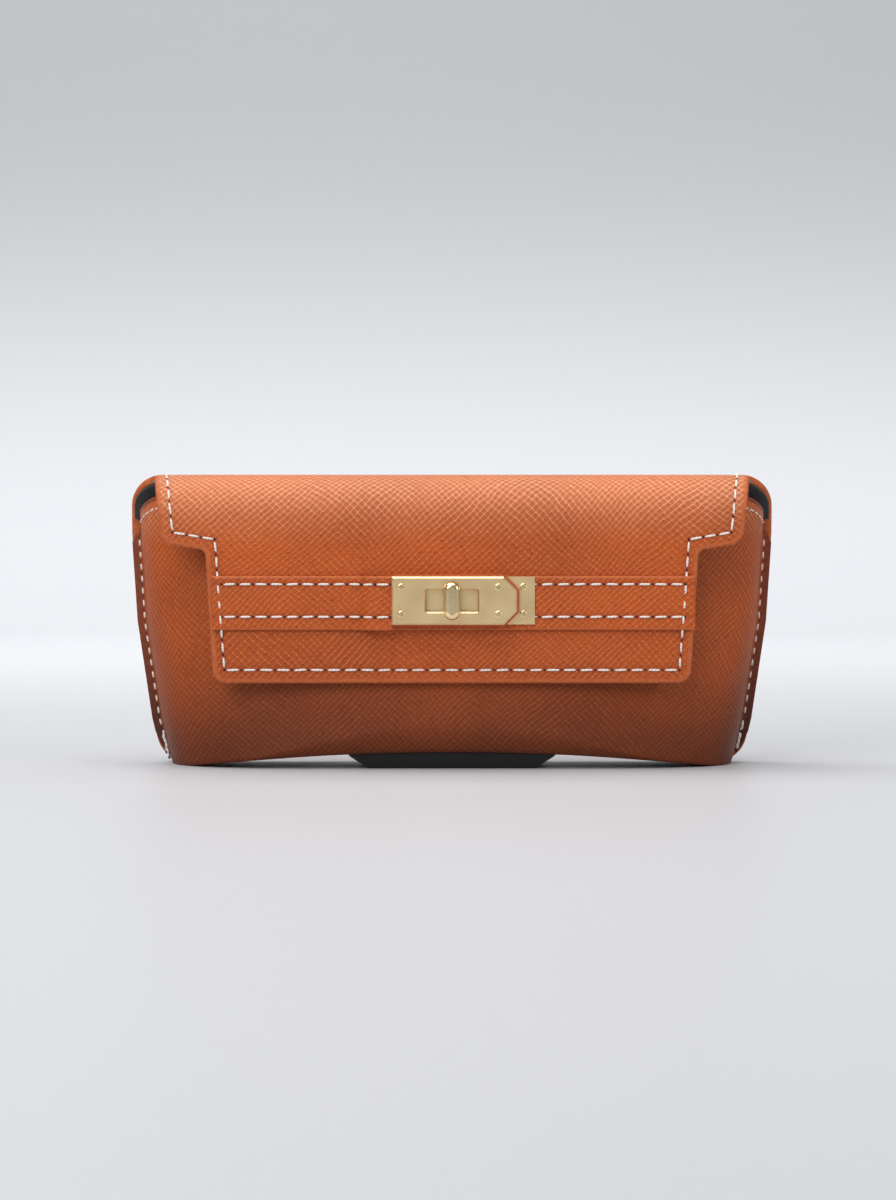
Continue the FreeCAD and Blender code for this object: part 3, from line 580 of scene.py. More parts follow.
def inset(outline, distance):
    """The outline moved inwards by a distance, which may differ from point to point."""
    before = np.roll(outline, 1, axis=0)
    after = np.roll(outline, -1, axis=0)
    first = outline - before
    second = after - outline
    first /= np.linalg.norm(first, axis=1)[:, None]
    second /= np.linalg.norm(second, axis=1)[:, None]
    tangent = first + second
    tangent /= np.linalg.norm(tangent, axis=1)[:, None]
    inward = np.column_stack([-tangent[:, 1], tangent[:, 0]])
    if area(outline) < 0:
        inward = -inward
    widen = 1.0 / np.clip(np.sum(first * tangent, axis=1), 0.6, 1.0)
    return outline + inward * (np.asarray(distance) * widen)[:, None]


def area(outline):
    x, y = outline[:, 0], outline[:, 1]
    return 0.5 * np.sum(x * np.roll(y, -1) - y * np.roll(x, -1))


def distance_to(points, line, closed=True):
    """Distance from each point to a line of straight pieces."""
    ends = np.roll(line, -1, axis=0) if closed else line[1:]
    starts = line if closed else line[:-1]
    best = np.full(len(points), np.inf)
    for a, b in zip(starts, ends):
        d = b - a
        t = np.clip(((points - a) @ d) / max(d @ d, 1e-18), 0.0, 1.0)
        gap = points - a - t[:, None] * d
        best = np.minimum(best, np.einsum("ij,ij->i", gap, gap))
    return np.sqrt(best)


def inside(points, outline):
    hits = np.zeros(len(points), bool)
    following = np.roll(outline, -1, axis=0)
    for (ax, ay), (bx, by) in zip(outline, following):
        if ay == by:
            continue
        crossing = (points[:, 1] >= min(ay, by)) & (points[:, 1] < max(ay, by))
        x = ax + (points[:, 1] - ay) * (bx - ax) / (by - ay)
        hits ^= crossing & (points[:, 0] < x)
    return hits


def filled(outline, spacing):
    """Even triangles inside an outline: (points, triangles), the outline's own points first."""
    lowest, highest = outline.min(0), outline.max(0)
    across = np.arange(lowest[0], highest[0], spacing)
    along = np.arange(lowest[1], highest[1], spacing * 0.9)
    grid = np.array([(x + (0.5 * spacing if row % 2 else 0.0), y)
                     for row, y in enumerate(along) for x in across])
    grid = grid[inside(grid, outline)]
    grid = grid[distance_to(grid, outline) > 0.55 * spacing]
    every = np.vstack([outline, grid])
    count = len(outline)
    loop = [(k, (k + 1) % count) for k in range(count)]
    made = delaunay_2d_cdt([Vector(p) for p in every], loop, [], 1, 1e-9)
    points = np.array([tuple(p) for p in made[0]])
    source = [originals[0] if originals else -1 for originals in made[3]]
    place = {original: k for k, original in enumerate(source)}
    order = [place[k] for k in range(count)]
    rest = [k for k in range(len(points)) if k not in set(order)]
    renumber = {old: new for new, old in enumerate(order + rest)}
    triangles = [[renumber[v] for v in face] for face in made[2]]
    return points[order + rest], triangles


def hide_shape(outline, bend, thickness, rim, spacing, dent=None):
    """A piece of leather cut to an outline: top and bottom faces joined by a rounded rim.

    bend(flat points, depth under the top face) gives places. dent(flat points) is how deep the top
    face is pressed. Returns points, faces, flat pattern and distance from the cut edge.
    """
    rim_steps = 4
    count = len(outline)
    top, top_faces = filled(inset(outline, rim), spacing)
    under, under_faces = filled(inset(outline, rim), spacing * 2.5)
    pressed = dent(top) if dent else np.zeros(len(top))
    margin = distance_to(top, outline)
    flat = [top]
    places = [bend(top, pressed)]
    margins = [margin]
    faces = [list(face) for face in top_faces]
    rings = []
    full = thickness(outline)
    for k in range(1, rim_steps + 1):
        a = 0.5 * math.pi * k / rim_steps
        rings.append((rim * (1 - math.sin(a)), rim * (1 - math.cos(a)), 0))
    for k in range(rim_steps, 0, -1):
        a = 0.5 * math.pi * k / rim_steps
        rings.append((rim * (1 - math.sin(a)), rim * (1 - math.cos(a)), 1))
    start = len(top)
    previous = list(range(count))
    for aside, down, from_below in rings:
        ring = inset(outline, aside)
        depth = full - down if from_below else np.full(count, down)
        flat.append(ring)
        places.append(bend(ring, depth))
        margins.append(np.full(count, aside - down - (2.0 * MM if from_below else 0.0)))
        current = list(range(start, start + count))
        faces += [[previous[k], previous[(k + 1) % count], current[(k + 1) % count], current[k]]
                  for k in range(count)]
        previous = current
        start += count
    flat.append(under)
    places.append(bend(under, thickness(under)))
    margins.append(np.full(len(under), -4.0 * MM))
    faces += [[start + v for v in face] for face in under_faces]
    faces += [[previous[k], previous[(k + 1) % count], start + (k + 1) % count, start + k]
              for k in range(count)]
    return np.vstack(places), faces, np.vstack(flat), np.concatenate(margins)


def hide_piece(name, outline, bend, thickness, rim, spacing, material, dent=None, margin_of=None):
    points, faces, flat, margin = hide_shape(outline, bend, thickness, rim, spacing, dent)
    if margin_of:
        margin = np.where(margin > 0, margin_of(flat), margin)
    piece = new_piece(name, points, faces, [material])
    store_pattern(piece, flat)
    store(piece, "margin", "FLOAT", margin)
    # how much shade is painted into the stitch channel
    hollow_shade = np.zeros(len(points))
    if dent:
        deepest = max(float(dent(flat).max()), 1e-6)
        hollow_shade = dent(flat) / deepest * (margin > 0)
    store(piece, "hollow_shade", "FLOAT", hollow_shade)
    face_outwards(piece)
    return piece


# ------------------------------------------------------------------ cover: back, arch and flap
def cover_line(v):
    """Side view of the cover's outer face: (forward, up, outward forward, outward up)."""
    v = np.asarray(v, float)
    rear = np.clip((v - REAR_TOP) / REAR_ROUND, 0.0, math.pi / 2)
    brow = np.clip((v - V_BROW) / FRONT_ROUND, 0.0, math.pi / 2)
    level = np.clip(v - V_TOP, 0.0, V_BROW - V_TOP)
    drop = np.maximum(v - V_FRONT, 0.0)
    forward = REAR_ROUND * (1 - np.cos(rear)) + level + FRONT_ROUND * np.sin(brow)
    up = np.minimum(v, REAR_TOP) + REAR_ROUND * np.sin(rear) - FRONT_ROUND * (1 - np.cos(brow)) - drop
    turn = rear + brow
    return forward, up, -np.cos(turn), np.sin(turn)


def on_cover(flat, depth):
    """Places on the bent cover, `depth` under its outer face."""
    forward, up, out_forward, out_up = cover_line(flat[:, 1])
    depth = np.asarray(depth, float)
    return np.column_stack([flat[:, 0], in_body(forward - out_forward * depth), up - out_up * depth])


def front_v(z):
    """Place along the cover of a height on the tongue."""
    return V_FRONT + TOP_Z - FRONT_ROUND - z


def arch_z(x, grow=0.0):
    """Height of the hollowed bottom edge."""
    radius = (ARCH_HALF ** 2 + ARCH_RISE ** 2) / (2 * ARCH_RISE) + grow
    x = np.abs(np.asarray(x, float))
    rise = np.sqrt(np.maximum(radius ** 2 - x ** 2, 0.0)) - (radius - ARCH_RISE - grow)
    return np.maximum(rise, 0.0)


def both_sides(right):
    """Corners for both sides from those of the right side, from the foot up."""
    return right + [(-x, y, r) for x, y, r in reversed(right)]


def ear_corners(shrink):
    """Right edge of the cover over the rear round, from the ear's start to the level top."""
    corners = []
    for k in range(0, 10):
        a = 0.5 * math.pi * k / 9.0
        z = TOP_Z - EAR_ROUND + EAR_ROUND * math.sin(a)
        x = FLAP_HALF_TOP + EAR_ROUND * math.cos(a) - shrink
        v = REAR_TOP + REAR_ROUND * math.asin(min(1.0, (z - REAR_TOP) / REAR_ROUND))
        corners.append((x, v, 0))
    return corners


def brow_corners(shrink):
    """Right edge of the cover over the front round."""
    slope = (FLAP_HALF_TOP - STEP_OUT[0]) / (TOP_Z - STEP_OUT[1])
    corners = []
    for k in range(0, 7):
        a = 0.5 * math.pi * k / 6.0
        fall = FRONT_ROUND * (1 - math.cos(a))
        corners.append((FLAP_HALF_TOP - slope * fall - shrink, V_BROW + FRONT_ROUND * a, 0))
    return corners


def arch_corners(shrink):
    """Bottom edge between the two feet, left to right."""
    half = ARCH_HALF - 0.5 * MM
    return [(x, float(arch_z(x, shrink)) + shrink, 0) for x in np.linspace(-half, half, 41)]


def cover_outline(step):
    right = [(SEAM_HALVES[0], 0.0, CORNER_ROUND)]
    right += [(w, z, 0) for w, z in zip(SEAM_HALVES[1:], SEAM_HEIGHTS[1:])]
    right += ear_corners(0.0) + brow_corners(0.0)
    right += [(STEP_OUT[0], front_v(STEP_OUT[1]), STEP_ROUND), (STEP_IN[0], front_v(STEP_IN[1]), NOTCH_ROUND),
              (TONGUE_HALF, front_v(TONGUE_FOOT), TONGUE_ROUND)]
    return rounded(arch_corners(0.0) + both_sides(right), step)


SIDE_INSET = 2.8 * MM
FOOT_INSET = 3.4 * MM


def flap_stitch_corners():
    """Corners of the stitch line round the flap's right half: foot, notch, step and top."""
    foot = (TONGUE_HALF - SIDE_INSET, front_v(TONGUE_FOOT + FOOT_INSET))
    notch = (STEP_IN[0] - SIDE_INSET + 0.3 * MM, front_v(STEP_IN[1] + SIDE_INSET))
    step = (STEP_OUT[0] - SIDE_INSET, front_v(STEP_OUT[1] + SIDE_INSET))
    top = (FLAP_HALF_TOP - SIDE_INSET, V_BROW)
    return foot, notch, step, top


def back_seam_line(shrink, top):
    """Right side seam's stitch line, from the foot corner up."""
    heights = np.linspace(4.2 * MM, top, 24)
    return [(float(np.interp(z, SEAM_HEIGHTS, SEAM_HALVES)) - shrink, float(z)) for z in heights]


def cover_stitch_lines():
    """The runs of stitches round the cover as (flat line, pitch, share that shows)."""
    thread = setting("thread")
    foot, notch, step, top = flap_stitch_corners()
    ear = [(x, v) for x, v, _ in ear_corners(SIDE_INSET)]
    upper = [top, (top[0], V_TOP)] + list(reversed(ear))[1:] + \
        list(reversed(back_seam_line(SIDE_INSET, SEAM_TOP)))
    runs = [([(-foot[0], foot[1]), foot], thread.bottom_pitch, 0.76)]
    for side in (1, -1):
        for line, pitch, share in (([foot, notch], thread.side_pitch, 0.70),
                                   ([notch, step], 2.95 * MM, 0.84),
                                   ([step, top], thread.side_pitch, 0.80),
                                   (upper, thread.seam_pitch, 0.66)):
            runs.append(([(side * x, v) for x, v in line], pitch, share))
    return runs


def cover_dent(flat):
    """Shallow channel that the stitches pull into the leather."""
    nearest = np.full(len(flat), np.inf)
    for line, _, _ in cover_stitch_lines():
        nearest = np.minimum(nearest, distance_to(flat, np.array(line), closed=False))
    return 0.16 * MM * np.exp(-(nearest / (0.75 * MM)) ** 2)


def cover_thickness(flat):
    """The back is one skin thick; the flap has its board inside."""
    grow = np.clip((flat[:, 1] - SEAM_TOP - 0.8 * MM) / (3.5 * MM), 0.0, 1.0)
    return BACK_SKIN + (COVER_SKIN - BACK_SKIN) * grow * grow * (3 - 2 * grow)


def lining_outline(step):
    """Suede inside the back, wider from the fold on."""
    tucked = SEAM_FIN + SKIN + FORMER + LINING + 0.3 * MM
    lip = 0.8 * MM
    right = [(w - tucked, max(z, tucked), 3.0 * MM if z == 0 else 0)
             for w, z in zip(SEAM_HALVES, SEAM_HEIGHTS)]
    right.append((SEAM_HALF - tucked, PANEL_TOP + 0.2 * MM, 0))
    right.append((SEAM_HALF - lip, PANEL_TOP + 1.2 * MM, 0))
    right += ear_corners(lip) + brow_corners(lip)
    right += [(STEP_OUT[0] - lip, front_v(STEP_OUT[1] + lip), STEP_ROUND),
              (STEP_IN[0] - lip, front_v(STEP_IN[1] + lip), NOTCH_ROUND + lip),
              (TONGUE_HALF - lip, front_v(TONGUE_FOOT + lip), TONGUE_ROUND)]
    foot = [(x, z, 0) for x, z, _ in arch_corners(tucked) if abs(x) < SEAM_HALVES[0] - tucked - 4.0 * MM]
    return rounded(foot + both_sides(right), step)


def build_cover():
    leather = setting("leather")
    # 0.82 is the painted shade towards the cover's bottom
    skin = leather_finish("Cover leather", leather.paint, 1.0, 1.0, 0.82)
    cover = hide_piece("cover_leather", cover_outline(0.9 * MM), on_cover, cover_thickness,
                       0.62 * MM, 1.0 * MM, skin, cover_dent)
    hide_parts("back_leather", "flap_leather")
    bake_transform(cover)
    suede = suede_finish("Suede lining")

    def under_cover(flat, depth):
        sunk = np.where(flat[:, 1] < PANEL_TOP, BACK_SKIN + FORMER, COVER_SKIN)
        return on_cover(flat, sunk + 0.03 * MM + depth)

    lining = hide_piece("cover_lining", lining_outline(1.2 * MM), under_cover,
                        lambda flat: np.full(len(flat), LINING), 0.2 * MM, 2.2 * MM, suede)
    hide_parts("back_lining", "flap_lining")
    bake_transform(lining)


# ------------------------------------------------------------------ pouch: moulded front
def seam_half(z):
    z = np.asarray(z, float)
    slope = (SEAM_HALVES[3] - SEAM_HALVES[2]) / (SEAM_HEIGHTS[3] - SEAM_HEIGHTS[2])
    return np.interp(z, SEAM_HEIGHTS, SEAM_HALVES) + np.maximum(z - SEAM_TOP, 0.0) * slope


def pouch_depth(z):
    rise = np.maximum(0.0, (np.asarray(z, float) - BELLY_Z) / (MOUTH_Z - BELLY_Z))
    return POUCH_DEPTH - MOUTH_DRAW * rise ** 2


def mouth_top(x, forward):
    """Height of the mouth's edge across the front, lower where it meets the seams."""
    x = np.abs(x)
    edge = np.clip(x - (MOUTH_HALF - MOUTH_ROUND), 0.0, MOUTH_ROUND)
    top = MOUTH_Z - MOUTH_ROUND + np.sqrt(MOUTH_ROUND ** 2 - edge ** 2)
    near = np.clip((forward - 2.6 * MM) / (2.0 * MM), 0.0, 1.0)
    near = near * near * (3 - 2 * near)
    return np.minimum(top, SEAM_TOP + 0.2 * MM + (top - SEAM_TOP) * near)


WALL_COLUMNS = 110
WALL_ROWS = 64
FOLD_ROWS = 18
EDGE_ROUND = 1.0 * MM
SOLE_ROWS = 6
FIN_SHARES = (1.0, 0.94, 0.8, 0.55, 0.32, 0.18)  # columns across a seam's margin, from its edge
NEAR_MOUTH = 66.0 * MM                           # height where the mouth's reach is looked up
NEAR_FOOT = 3.0 * MM                             # height where the foot's reach is looked up


def pouch_columns():
    """Columns from the right seam's edge to the left one: ('fin', share) or ('wall', angle)."""
    right = [("fin", share) for share in FIN_SHARES]
    left = [("fin_left", share) for share in reversed(FIN_SHARES)]
    ends = 0.035
    angles = np.linspace(ends, math.pi - ends, WALL_COLUMNS)
    eased = angles - 0.18 * np.sin(2 * angles)
    return right + [("wall", float(a)) for a in eased] + left


def pouch_place(column, z, depth):
    """Place on the pouch's wall at a height, `depth` under its outer face: (x, forward)."""
    kind, value = column
    if kind == "wall":
        half = seam_half(z) - SEAM_FIN - depth
        across = np.sign(math.cos(value)) * abs(math.cos(value)) ** (2 / BULGE)
        reach = abs(math.sin(value)) ** (2 / BULGE)
        forward = SKIN + (pouch_depth(z) - depth - SKIN) * reach
        return half * across, forward
    side = 1.0 if kind == "fin" else -1.0
    x = seam_half(z) - SEAM_FIN + SEAM_FIN * value
    lift = 0.55 * MM * max(0.0, 0.32 - value) / 0.32
    return side * x, np.full_like(z, 2 * SKIN - depth) + lift * (depth == 0)


def pouch_surface(depth):
    """Grid of places of the front skin, `depth` under its outer face, with its flat pattern."""
    columns = pouch_columns()
    grid = np.zeros((len(columns), WALL_ROWS + FOLD_ROWS + SOLE_ROWS, 3))
    for c, column in enumerate(columns):
        is_wall = column[0] == "wall"
        x_top, f_top = pouch_place(column, np.array([NEAR_MOUTH]), 0.0)
        top = float(mouth_top(x_top, f_top)[0])
        if not is_wall:
            top = SEAM_TOP + 0.2 * MM - (2.6 * MM) * max(0.0, column[1] - 0.5) / 0.5
        foot_x = float(pouch_place(column, np.array([NEAR_FOOT]), 0.0)[0][0])
        foot = float(arch_z(foot_x)) + depth * is_wall
        if not is_wall:
            aside = max(abs(foot_x) - (SEAM_HALVES[0] - CORNER_ROUND + 0.6 * MM), 0.0)
            foot = CORNER_ROUND - math.sqrt(max(CORNER_ROUND ** 2 - aside ** 2, 0.0))
        begin = FOLD_ROUND + 1.0 * MM
        round_the_fold = np.linspace(0, math.pi / 2, FOLD_ROWS + 1)[1:]
        z = np.concatenate([np.linspace(top, begin, WALL_ROWS),
                            foot + (begin - foot) * (1 - np.sin(round_the_fold))])
        x, forward = pouch_place(column, z, depth)
        if is_wall:
            low_z = np.clip(FOLD_ROUND + depth - z, 0.0, FOLD_ROUND)
            fold = pouch_depth(z) - depth - FOLD_ROUND + np.sqrt(FOLD_ROUND ** 2 - low_z ** 2)
            turned = np.clip((foot + EDGE_ROUND - z) / EDGE_ROUND, 0.0, 1.0)
            forward = np.minimum(forward, fold) - EDGE_ROUND * (1 - np.sqrt(1 - turned ** 2)) * (depth == 0)
            forward = np.maximum(forward, SKIN + 0.05 * MM)
        grid[c, :WALL_ROWS + FOLD_ROWS] = np.column_stack([x, forward, z])
        x_end, f_end, z_end = grid[c, WALL_ROWS + FOLD_ROWS - 1]
        for r in range(SOLE_ROWS):
            s = (r + 1) / SOLE_ROWS
            grid[c, WALL_ROWS + FOLD_ROWS + r] = (x_end, f_end + (SKIN - f_end) * s, z_end)
    return grid


def build_pouch_shell(name, outer_depth, inner_depth, material):
    """Closed shell of one layer of the pouch."""
    outer, inner = pouch_surface(outer_depth), pouch_surface(inner_depth)
    if outer_depth > 0:
        walls = [k for k, c in enumerate(pouch_columns()) if c[0] == "wall"]
        outer, inner = outer[walls], inner[walls]
    columns, rows = outer.shape[:2]
    steps = np.linalg.norm(np.diff(outer, axis=0), axis=2)
    across = np.vstack([np.zeros(rows), np.cumsum(steps, axis=0)])
    across -= across[columns // 2][None, :]
    across = -np.repeat(across[:, [WALL_ROWS // 2]], rows, axis=1)
    drops = np.linalg.norm(np.diff(outer, axis=1), axis=2)
    along = np.hstack([np.zeros((columns, 1)), np.cumsum(drops, axis=1)])
    flat = np.stack([across, along + (MOUTH_Z - outer[:, [0], 2])], axis=2)
    count = columns * rows
    points = np.vstack([outer.reshape(-1, 3), inner.reshape(-1, 3)])
    points[:, 1] = in_body(points[:, 1])
    at = lambda c, r, side: side * count + c * rows + r
    faces = []
    for side in (0, 1):
        for c in range(columns - 1):
            for r in range(rows - 1):
                faces.append([at(c, r, side), at(c + 1, r, side),
                              at(c + 1, r + 1, side), at(c, r + 1, side)])
    for c in range(columns - 1):
        for r in (0, rows - 1):
            faces.append([at(c, r, 0), at(c + 1, r, 0), at(c + 1, r, 1), at(c, r, 1)])
    for r in range(rows - 1):
        for c in (0, columns - 1):
            faces.append([at(c, r, 0), at(c, r + 1, 0), at(c, r + 1, 1), at(c, r, 1)])
    piece = new_piece(name, points, faces, [material])
    pattern = np.vstack([flat.reshape(-1, 2)] * 2)
    store_pattern(piece, pattern)
    column_kind = np.array([0.0 if c[0] == "wall" else 1.0 for c in pouch_columns()])
    margin = np.zeros((2, columns, rows))
    margin[0] = np.minimum(5.0 * MM, along - 1.3 * MM)
    if outer_depth == 0:
        margin[0][column_kind > 0] = -0.5 * MM
    margin[1] = -4.0 * MM
    store(piece, "margin", "FLOAT", margin.ravel())
    store(piece, "hollow_shade", "FLOAT", np.zeros(2 * count))
    face_outwards(piece, 0.004 * MM)
    return piece


def build_pouch():
    leather = setting("leather")
    # 0.36 is the painted shade on the pouch's lower front
    skin = leather_finish("Pouch leather", leather.paint, 0.94, 1.0, 0.36, leather.fin_paint)
    front = build_pouch_shell("front_skin", 0.0, SKIN, skin)
    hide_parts("front_leather")
    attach(front, "case")
    suede = shared("Suede lining", suede_finish)
    cloth = build_pouch_shell("front_lining_cloth", SKIN + FORMER + 0.02 * MM, SKIN + FORMER + LINING, suede)
    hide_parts("front_lining")
    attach(cloth, "case")


FOOT_HALF = 23.0 * MM
FOOT_REAR, FOOT_FRONT = 6.0 * MM, 29.0 * MM
FOOT_CORNER = 2.5 * MM
FOOT_RINGS = ((0.05, -0.5), (0.4, -0.1), (1.2, 0.3), (3.0, 1.6), (5.0, 2.5))  # (height, growth) in mm
CORNERS_ONLY = 9.0  # a step longer than any side, so straight sides get no points of their own


def build_foot():
    """Low flared foot under the middle of the pouch, darkened to near black as painted shade."""
    rings = []
    for height, grow in FOOT_RINGS:
        grow = grow * MM
        half, rear, front = FOOT_HALF + 2 * grow, FOOT_REAR - grow, FOOT_FRONT + grow
        loop = rounded([(-half, rear, FOOT_CORNER), (half, rear, FOOT_CORNER),
                        (half, front, FOOT_CORNER), (-half, front, FOOT_CORNER)], CORNERS_ONLY)
        rings.append([(x, in_body(f), height * MM) for x, f in loop])
    count = len(rings[0])
    points = [p for ring in rings for p in ring]
    faces = [[r * count + k, r * count + (k + 1) % count,
              (r + 1) * count + (k + 1) % count, (r + 1) * count + k]
             for r in range(len(rings) - 1) for k in range(count)]
    faces += [list(range(count)), [(len(rings) - 1) * count + k for k in range(count)]]
    # tone 0.35 darkens the foot's suede to near black as painted shade
    foot = new_piece("pouch_foot", points, faces, [suede_finish("Foot in painted shade", 0.35)])
    store_pattern(foot, [(x, y) for x, y, _ in points])
    store(foot, "margin", "FLOAT", [3.0 * MM] * len(points))
    store(foot, "hollow_shade", "FLOAT", [0.0] * len(points))
    face_outwards(foot)
    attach(foot, "case")


# ------------------------------------------------------------------ straps and the clasp's tab
def strap_bend(rise_from, rise_to, lift):
    """Straps lie on the flap, and one climbs to the clasp's level."""
    def bend(flat, depth):
        share = np.clip((flat[:, 0] - rise_from) / (rise_to - rise_from), 0.0, 1.0)
        up = lift * share * share * (3 - 2 * share)
        off_centre = (-flat[:, 1] - (STRAP_LOW + STRAP_HIGH) / 2) / (7.2 * MM)
        crown = 0.12 * MM * np.clip(1 - off_centre ** 2, 0, 1)
        forward = STRAP_FRONT + up - np.asarray(depth, float) + crown * (np.asarray(depth) < 0.7 * MM)
        return np.column_stack([flat[:, 0], in_body(forward), -flat[:, 1]])
    return bend


STRAP_END = high("strap_right").x
STRAP_TOP_INSET = 2.1 * MM
STRAP_FOOT_INSET = 3.4 * MM


def strap_lines():
    """Heights of the straps' two stitch lines."""
    return STRAP_HIGH - STRAP_TOP_INSET, STRAP_LOW + STRAP_FOOT_INSET


def strap_dent(flat):
    nearest = np.full(len(flat), np.inf)
    for z in strap_lines():
        nearest = np.minimum(nearest, np.abs(-flat[:, 1] - z))
    return 0.14 * MM * np.exp(-(nearest / (0.7 * MM)) ** 2)


def strap_sides():
    """(name, left end, right end, bend) of each strap."""
    left_end, joint = low("strap_left").x, low("hasp_plate").x + 0.3 * MM
    lift = TAB_BACK - (STRAP_FRONT - STRAP_THICK)
    climb = strap_bend(-25.0 * MM, -20.0 * MM, lift)
    level = strap_bend(0.0, 1.0, 0.0)
    return [("strap_left", left_end, joint, climb),
            ("strap_right", low("strap_right").x, high("strap_right").x, level)]


def strap_skin():
    return shared("Strap leather", leather_finish, setting("leather").paint, 1.02, 0.45)


def build_straps():
    skin = strap_skin()
    for node, left, right, bend in strap_sides():
        corners = [(left, -STRAP_LOW, 0.3 * MM), (right, -STRAP_LOW, 0.3 * MM),
                   (right, -STRAP_HIGH, 0.3 * MM), (left, -STRAP_HIGH, 0.3 * MM)]
        piece = hide_piece(node + "_leather", rounded(corners, 0.8 * MM), bend,
                           lambda flat: np.full(len(flat), STRAP_THICK),
                           0.42 * MM, 0.7 * MM, skin, strap_dent,
                           lambda flat: np.minimum(STRAP_HIGH + flat[:, 1], -flat[:, 1] - STRAP_LOW))
        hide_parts(node)
        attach(piece, "flap")


def build_tab():
    """Leather tab between the clasp's two plates, with a window for the knob."""
    skin = strap_skin()
    lowest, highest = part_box("hasp_tab")
    lowest.x = low("hasp_plate").x + 0.4 * MM
    cut = 3.7 * MM
    outer = rounded([(lowest.x, -lowest.z, 0), (highest.x - cut, -lowest.z, 0),
                     (highest.x, -lowest.z - cut, 0),
                     (highest.x, -highest.z + cut, 0), (highest.x - cut, -highest.z, 0),
                     (lowest.x, -highest.z, 0)], 0.8 * MM)
    half_w, half_h = 7.0 * MM, 3.2 * MM
    hole = rounded([(-half_w, -CLASP_Z - half_h, 0.4 * MM), (half_w, -CLASP_Z - half_h, 0.4 * MM),
                    (half_w, -CLASP_Z + half_h, 0.4 * MM), (-half_w, -CLASP_Z + half_h, 0.4 * MM)], 0.8 * MM)
    piece = windowed_plate("tab_leather", outer, hole, TAB_BACK, TAB_FRONT, 0.3 * MM, skin)
    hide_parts("hasp_tab")
    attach(piece, "hasp")


def windowed_plate(name, outer, hole, back, front, rim, material):
    """Flat plate with a rounded rim and an opening."""
    points, faces, flat, margin = [], [], [], []
    loops = []
    for line, sign in ((outer, 1.0), (hole, -1.0)):
        for aside, forward in ((rim, front), (rim * 0.3, front - rim * 0.3), (0.0, front - rim),
                               (0.0, back + rim), (rim * 0.3, back + rim * 0.3), (rim, back)):
            ring = inset(line, aside * sign)
            start = len(points)
            points += [(x, in_body(forward), -v) for x, v in ring]
            flat += [tuple(p) for p in ring]
            margin += [(2.0 if forward == front else 0.2) * MM] * len(ring)
            loops.append(list(range(start, start + len(ring))))
    for side in (0, 6):
        for k in range(5):
            a, b = loops[side + k], loops[side + k + 1]
            n = len(a)
            faces += [[a[i], a[(i + 1) % n], b[(i + 1) % n], b[i]] for i in range(n)]
    for ends in ((0, 6), (5, 11)):
        a, b = loops[ends[0]], loops[ends[1]]
        every = [Vector(flat[k]) for k in a + b]
        edges = [(k, (k + 1) % len(a)) for k in range(len(a))]
        edges += [(len(a) + k, len(a) + (k + 1) % len(b)) for k in range(len(b))]
        made = delaunay_2d_cdt(every, edges, [], 1, 1e-9)
        source = [(a + b)[originals[0]] for originals in made[3]]
        window = np.array([flat[k] for k in b])
        for face in made[2]:
            middle = np.mean([tuple(made[0][k]) for k in face], axis=0)[None, :]
            if not inside(middle, window)[0]:
                faces.append([source[k] for k in face])
    piece = new_piece(name, points, faces, [material], smooth=False)
    store_pattern(piece, flat)
    store(piece, "margin", "FLOAT", margin)
    store(piece, "hollow_shade", "FLOAT", np.zeros(len(points)))
    face_outwards(piece)
    return piece


# ------------------------------------------------------------------ stitching
def stitch_shape():
    """One stitch, one unit long and thick, its ends sunk into the leather."""
    rings, sides = 7, 7
    points, faces, along, turn = [], [], [], []
    for r in range(rings):
        s = r / (rings - 1) - 0.5
        swell = 0.5 * (0.62 + 0.38 * math.cos(s * math.pi) ** 0.5) if abs(s) < 0.5 else 0.24
        centre = 0.20 - 2.1 * s * s
        for k in range(sides):
            a = math.tau * k / sides
            points.append((s, swell * math.cos(a), centre + swell * math.sin(a)))
            along.append(s)
            turn.append(k / sides)
    for r in range(rings - 1):
        for k in range(sides):
            a, b = r * sides + k, r * sides + (k + 1) % sides
            faces.append([a, b, b + sides, a + sides])
    faces.append(list(range(sides))[::-1])
    faces.append([(rings - 1) * sides + k for k in range(sides)])
    shape = new_piece("one_stitch", points, faces, [])
    store(shape, "along", "FLOAT", along)
    store(shape, "turn", "FLOAT", turn)
    face_outwards(shape)
    return shape


def hole_shape():
    """One needle hole: a dark lens of painted shade that just clears the leather."""
    sides = 8
    points = [(0.0, 0.0, 0.10)]
    points += [(0.36 * math.cos(math.tau * k / sides), 0.36 * math.sin(math.tau * k / sides), 0.07)
               for k in range(sides)]
    points += [(0.5 * math.cos(math.tau * k / sides), 0.5 * math.sin(math.tau * k / sides), -0.15)
               for k in range(sides)]
    points.append((0.0, 0.0, -0.3))
    faces = [[0, 1 + k, 1 + (k + 1) % sides] for k in range(sides)]
    faces += [[1 + k, 1 + sides + k, 1 + sides + (k + 1) % sides, 1 + (k + 1) % sides] for k in range(sides)]
    faces += [[1 + sides + k, 2 * sides + 1, 1 + sides + (k + 1) % sides] for k in range(sides)]
    shape = new_piece("one_hole", points, faces, [])
    face_outwards(shape)
    return shape


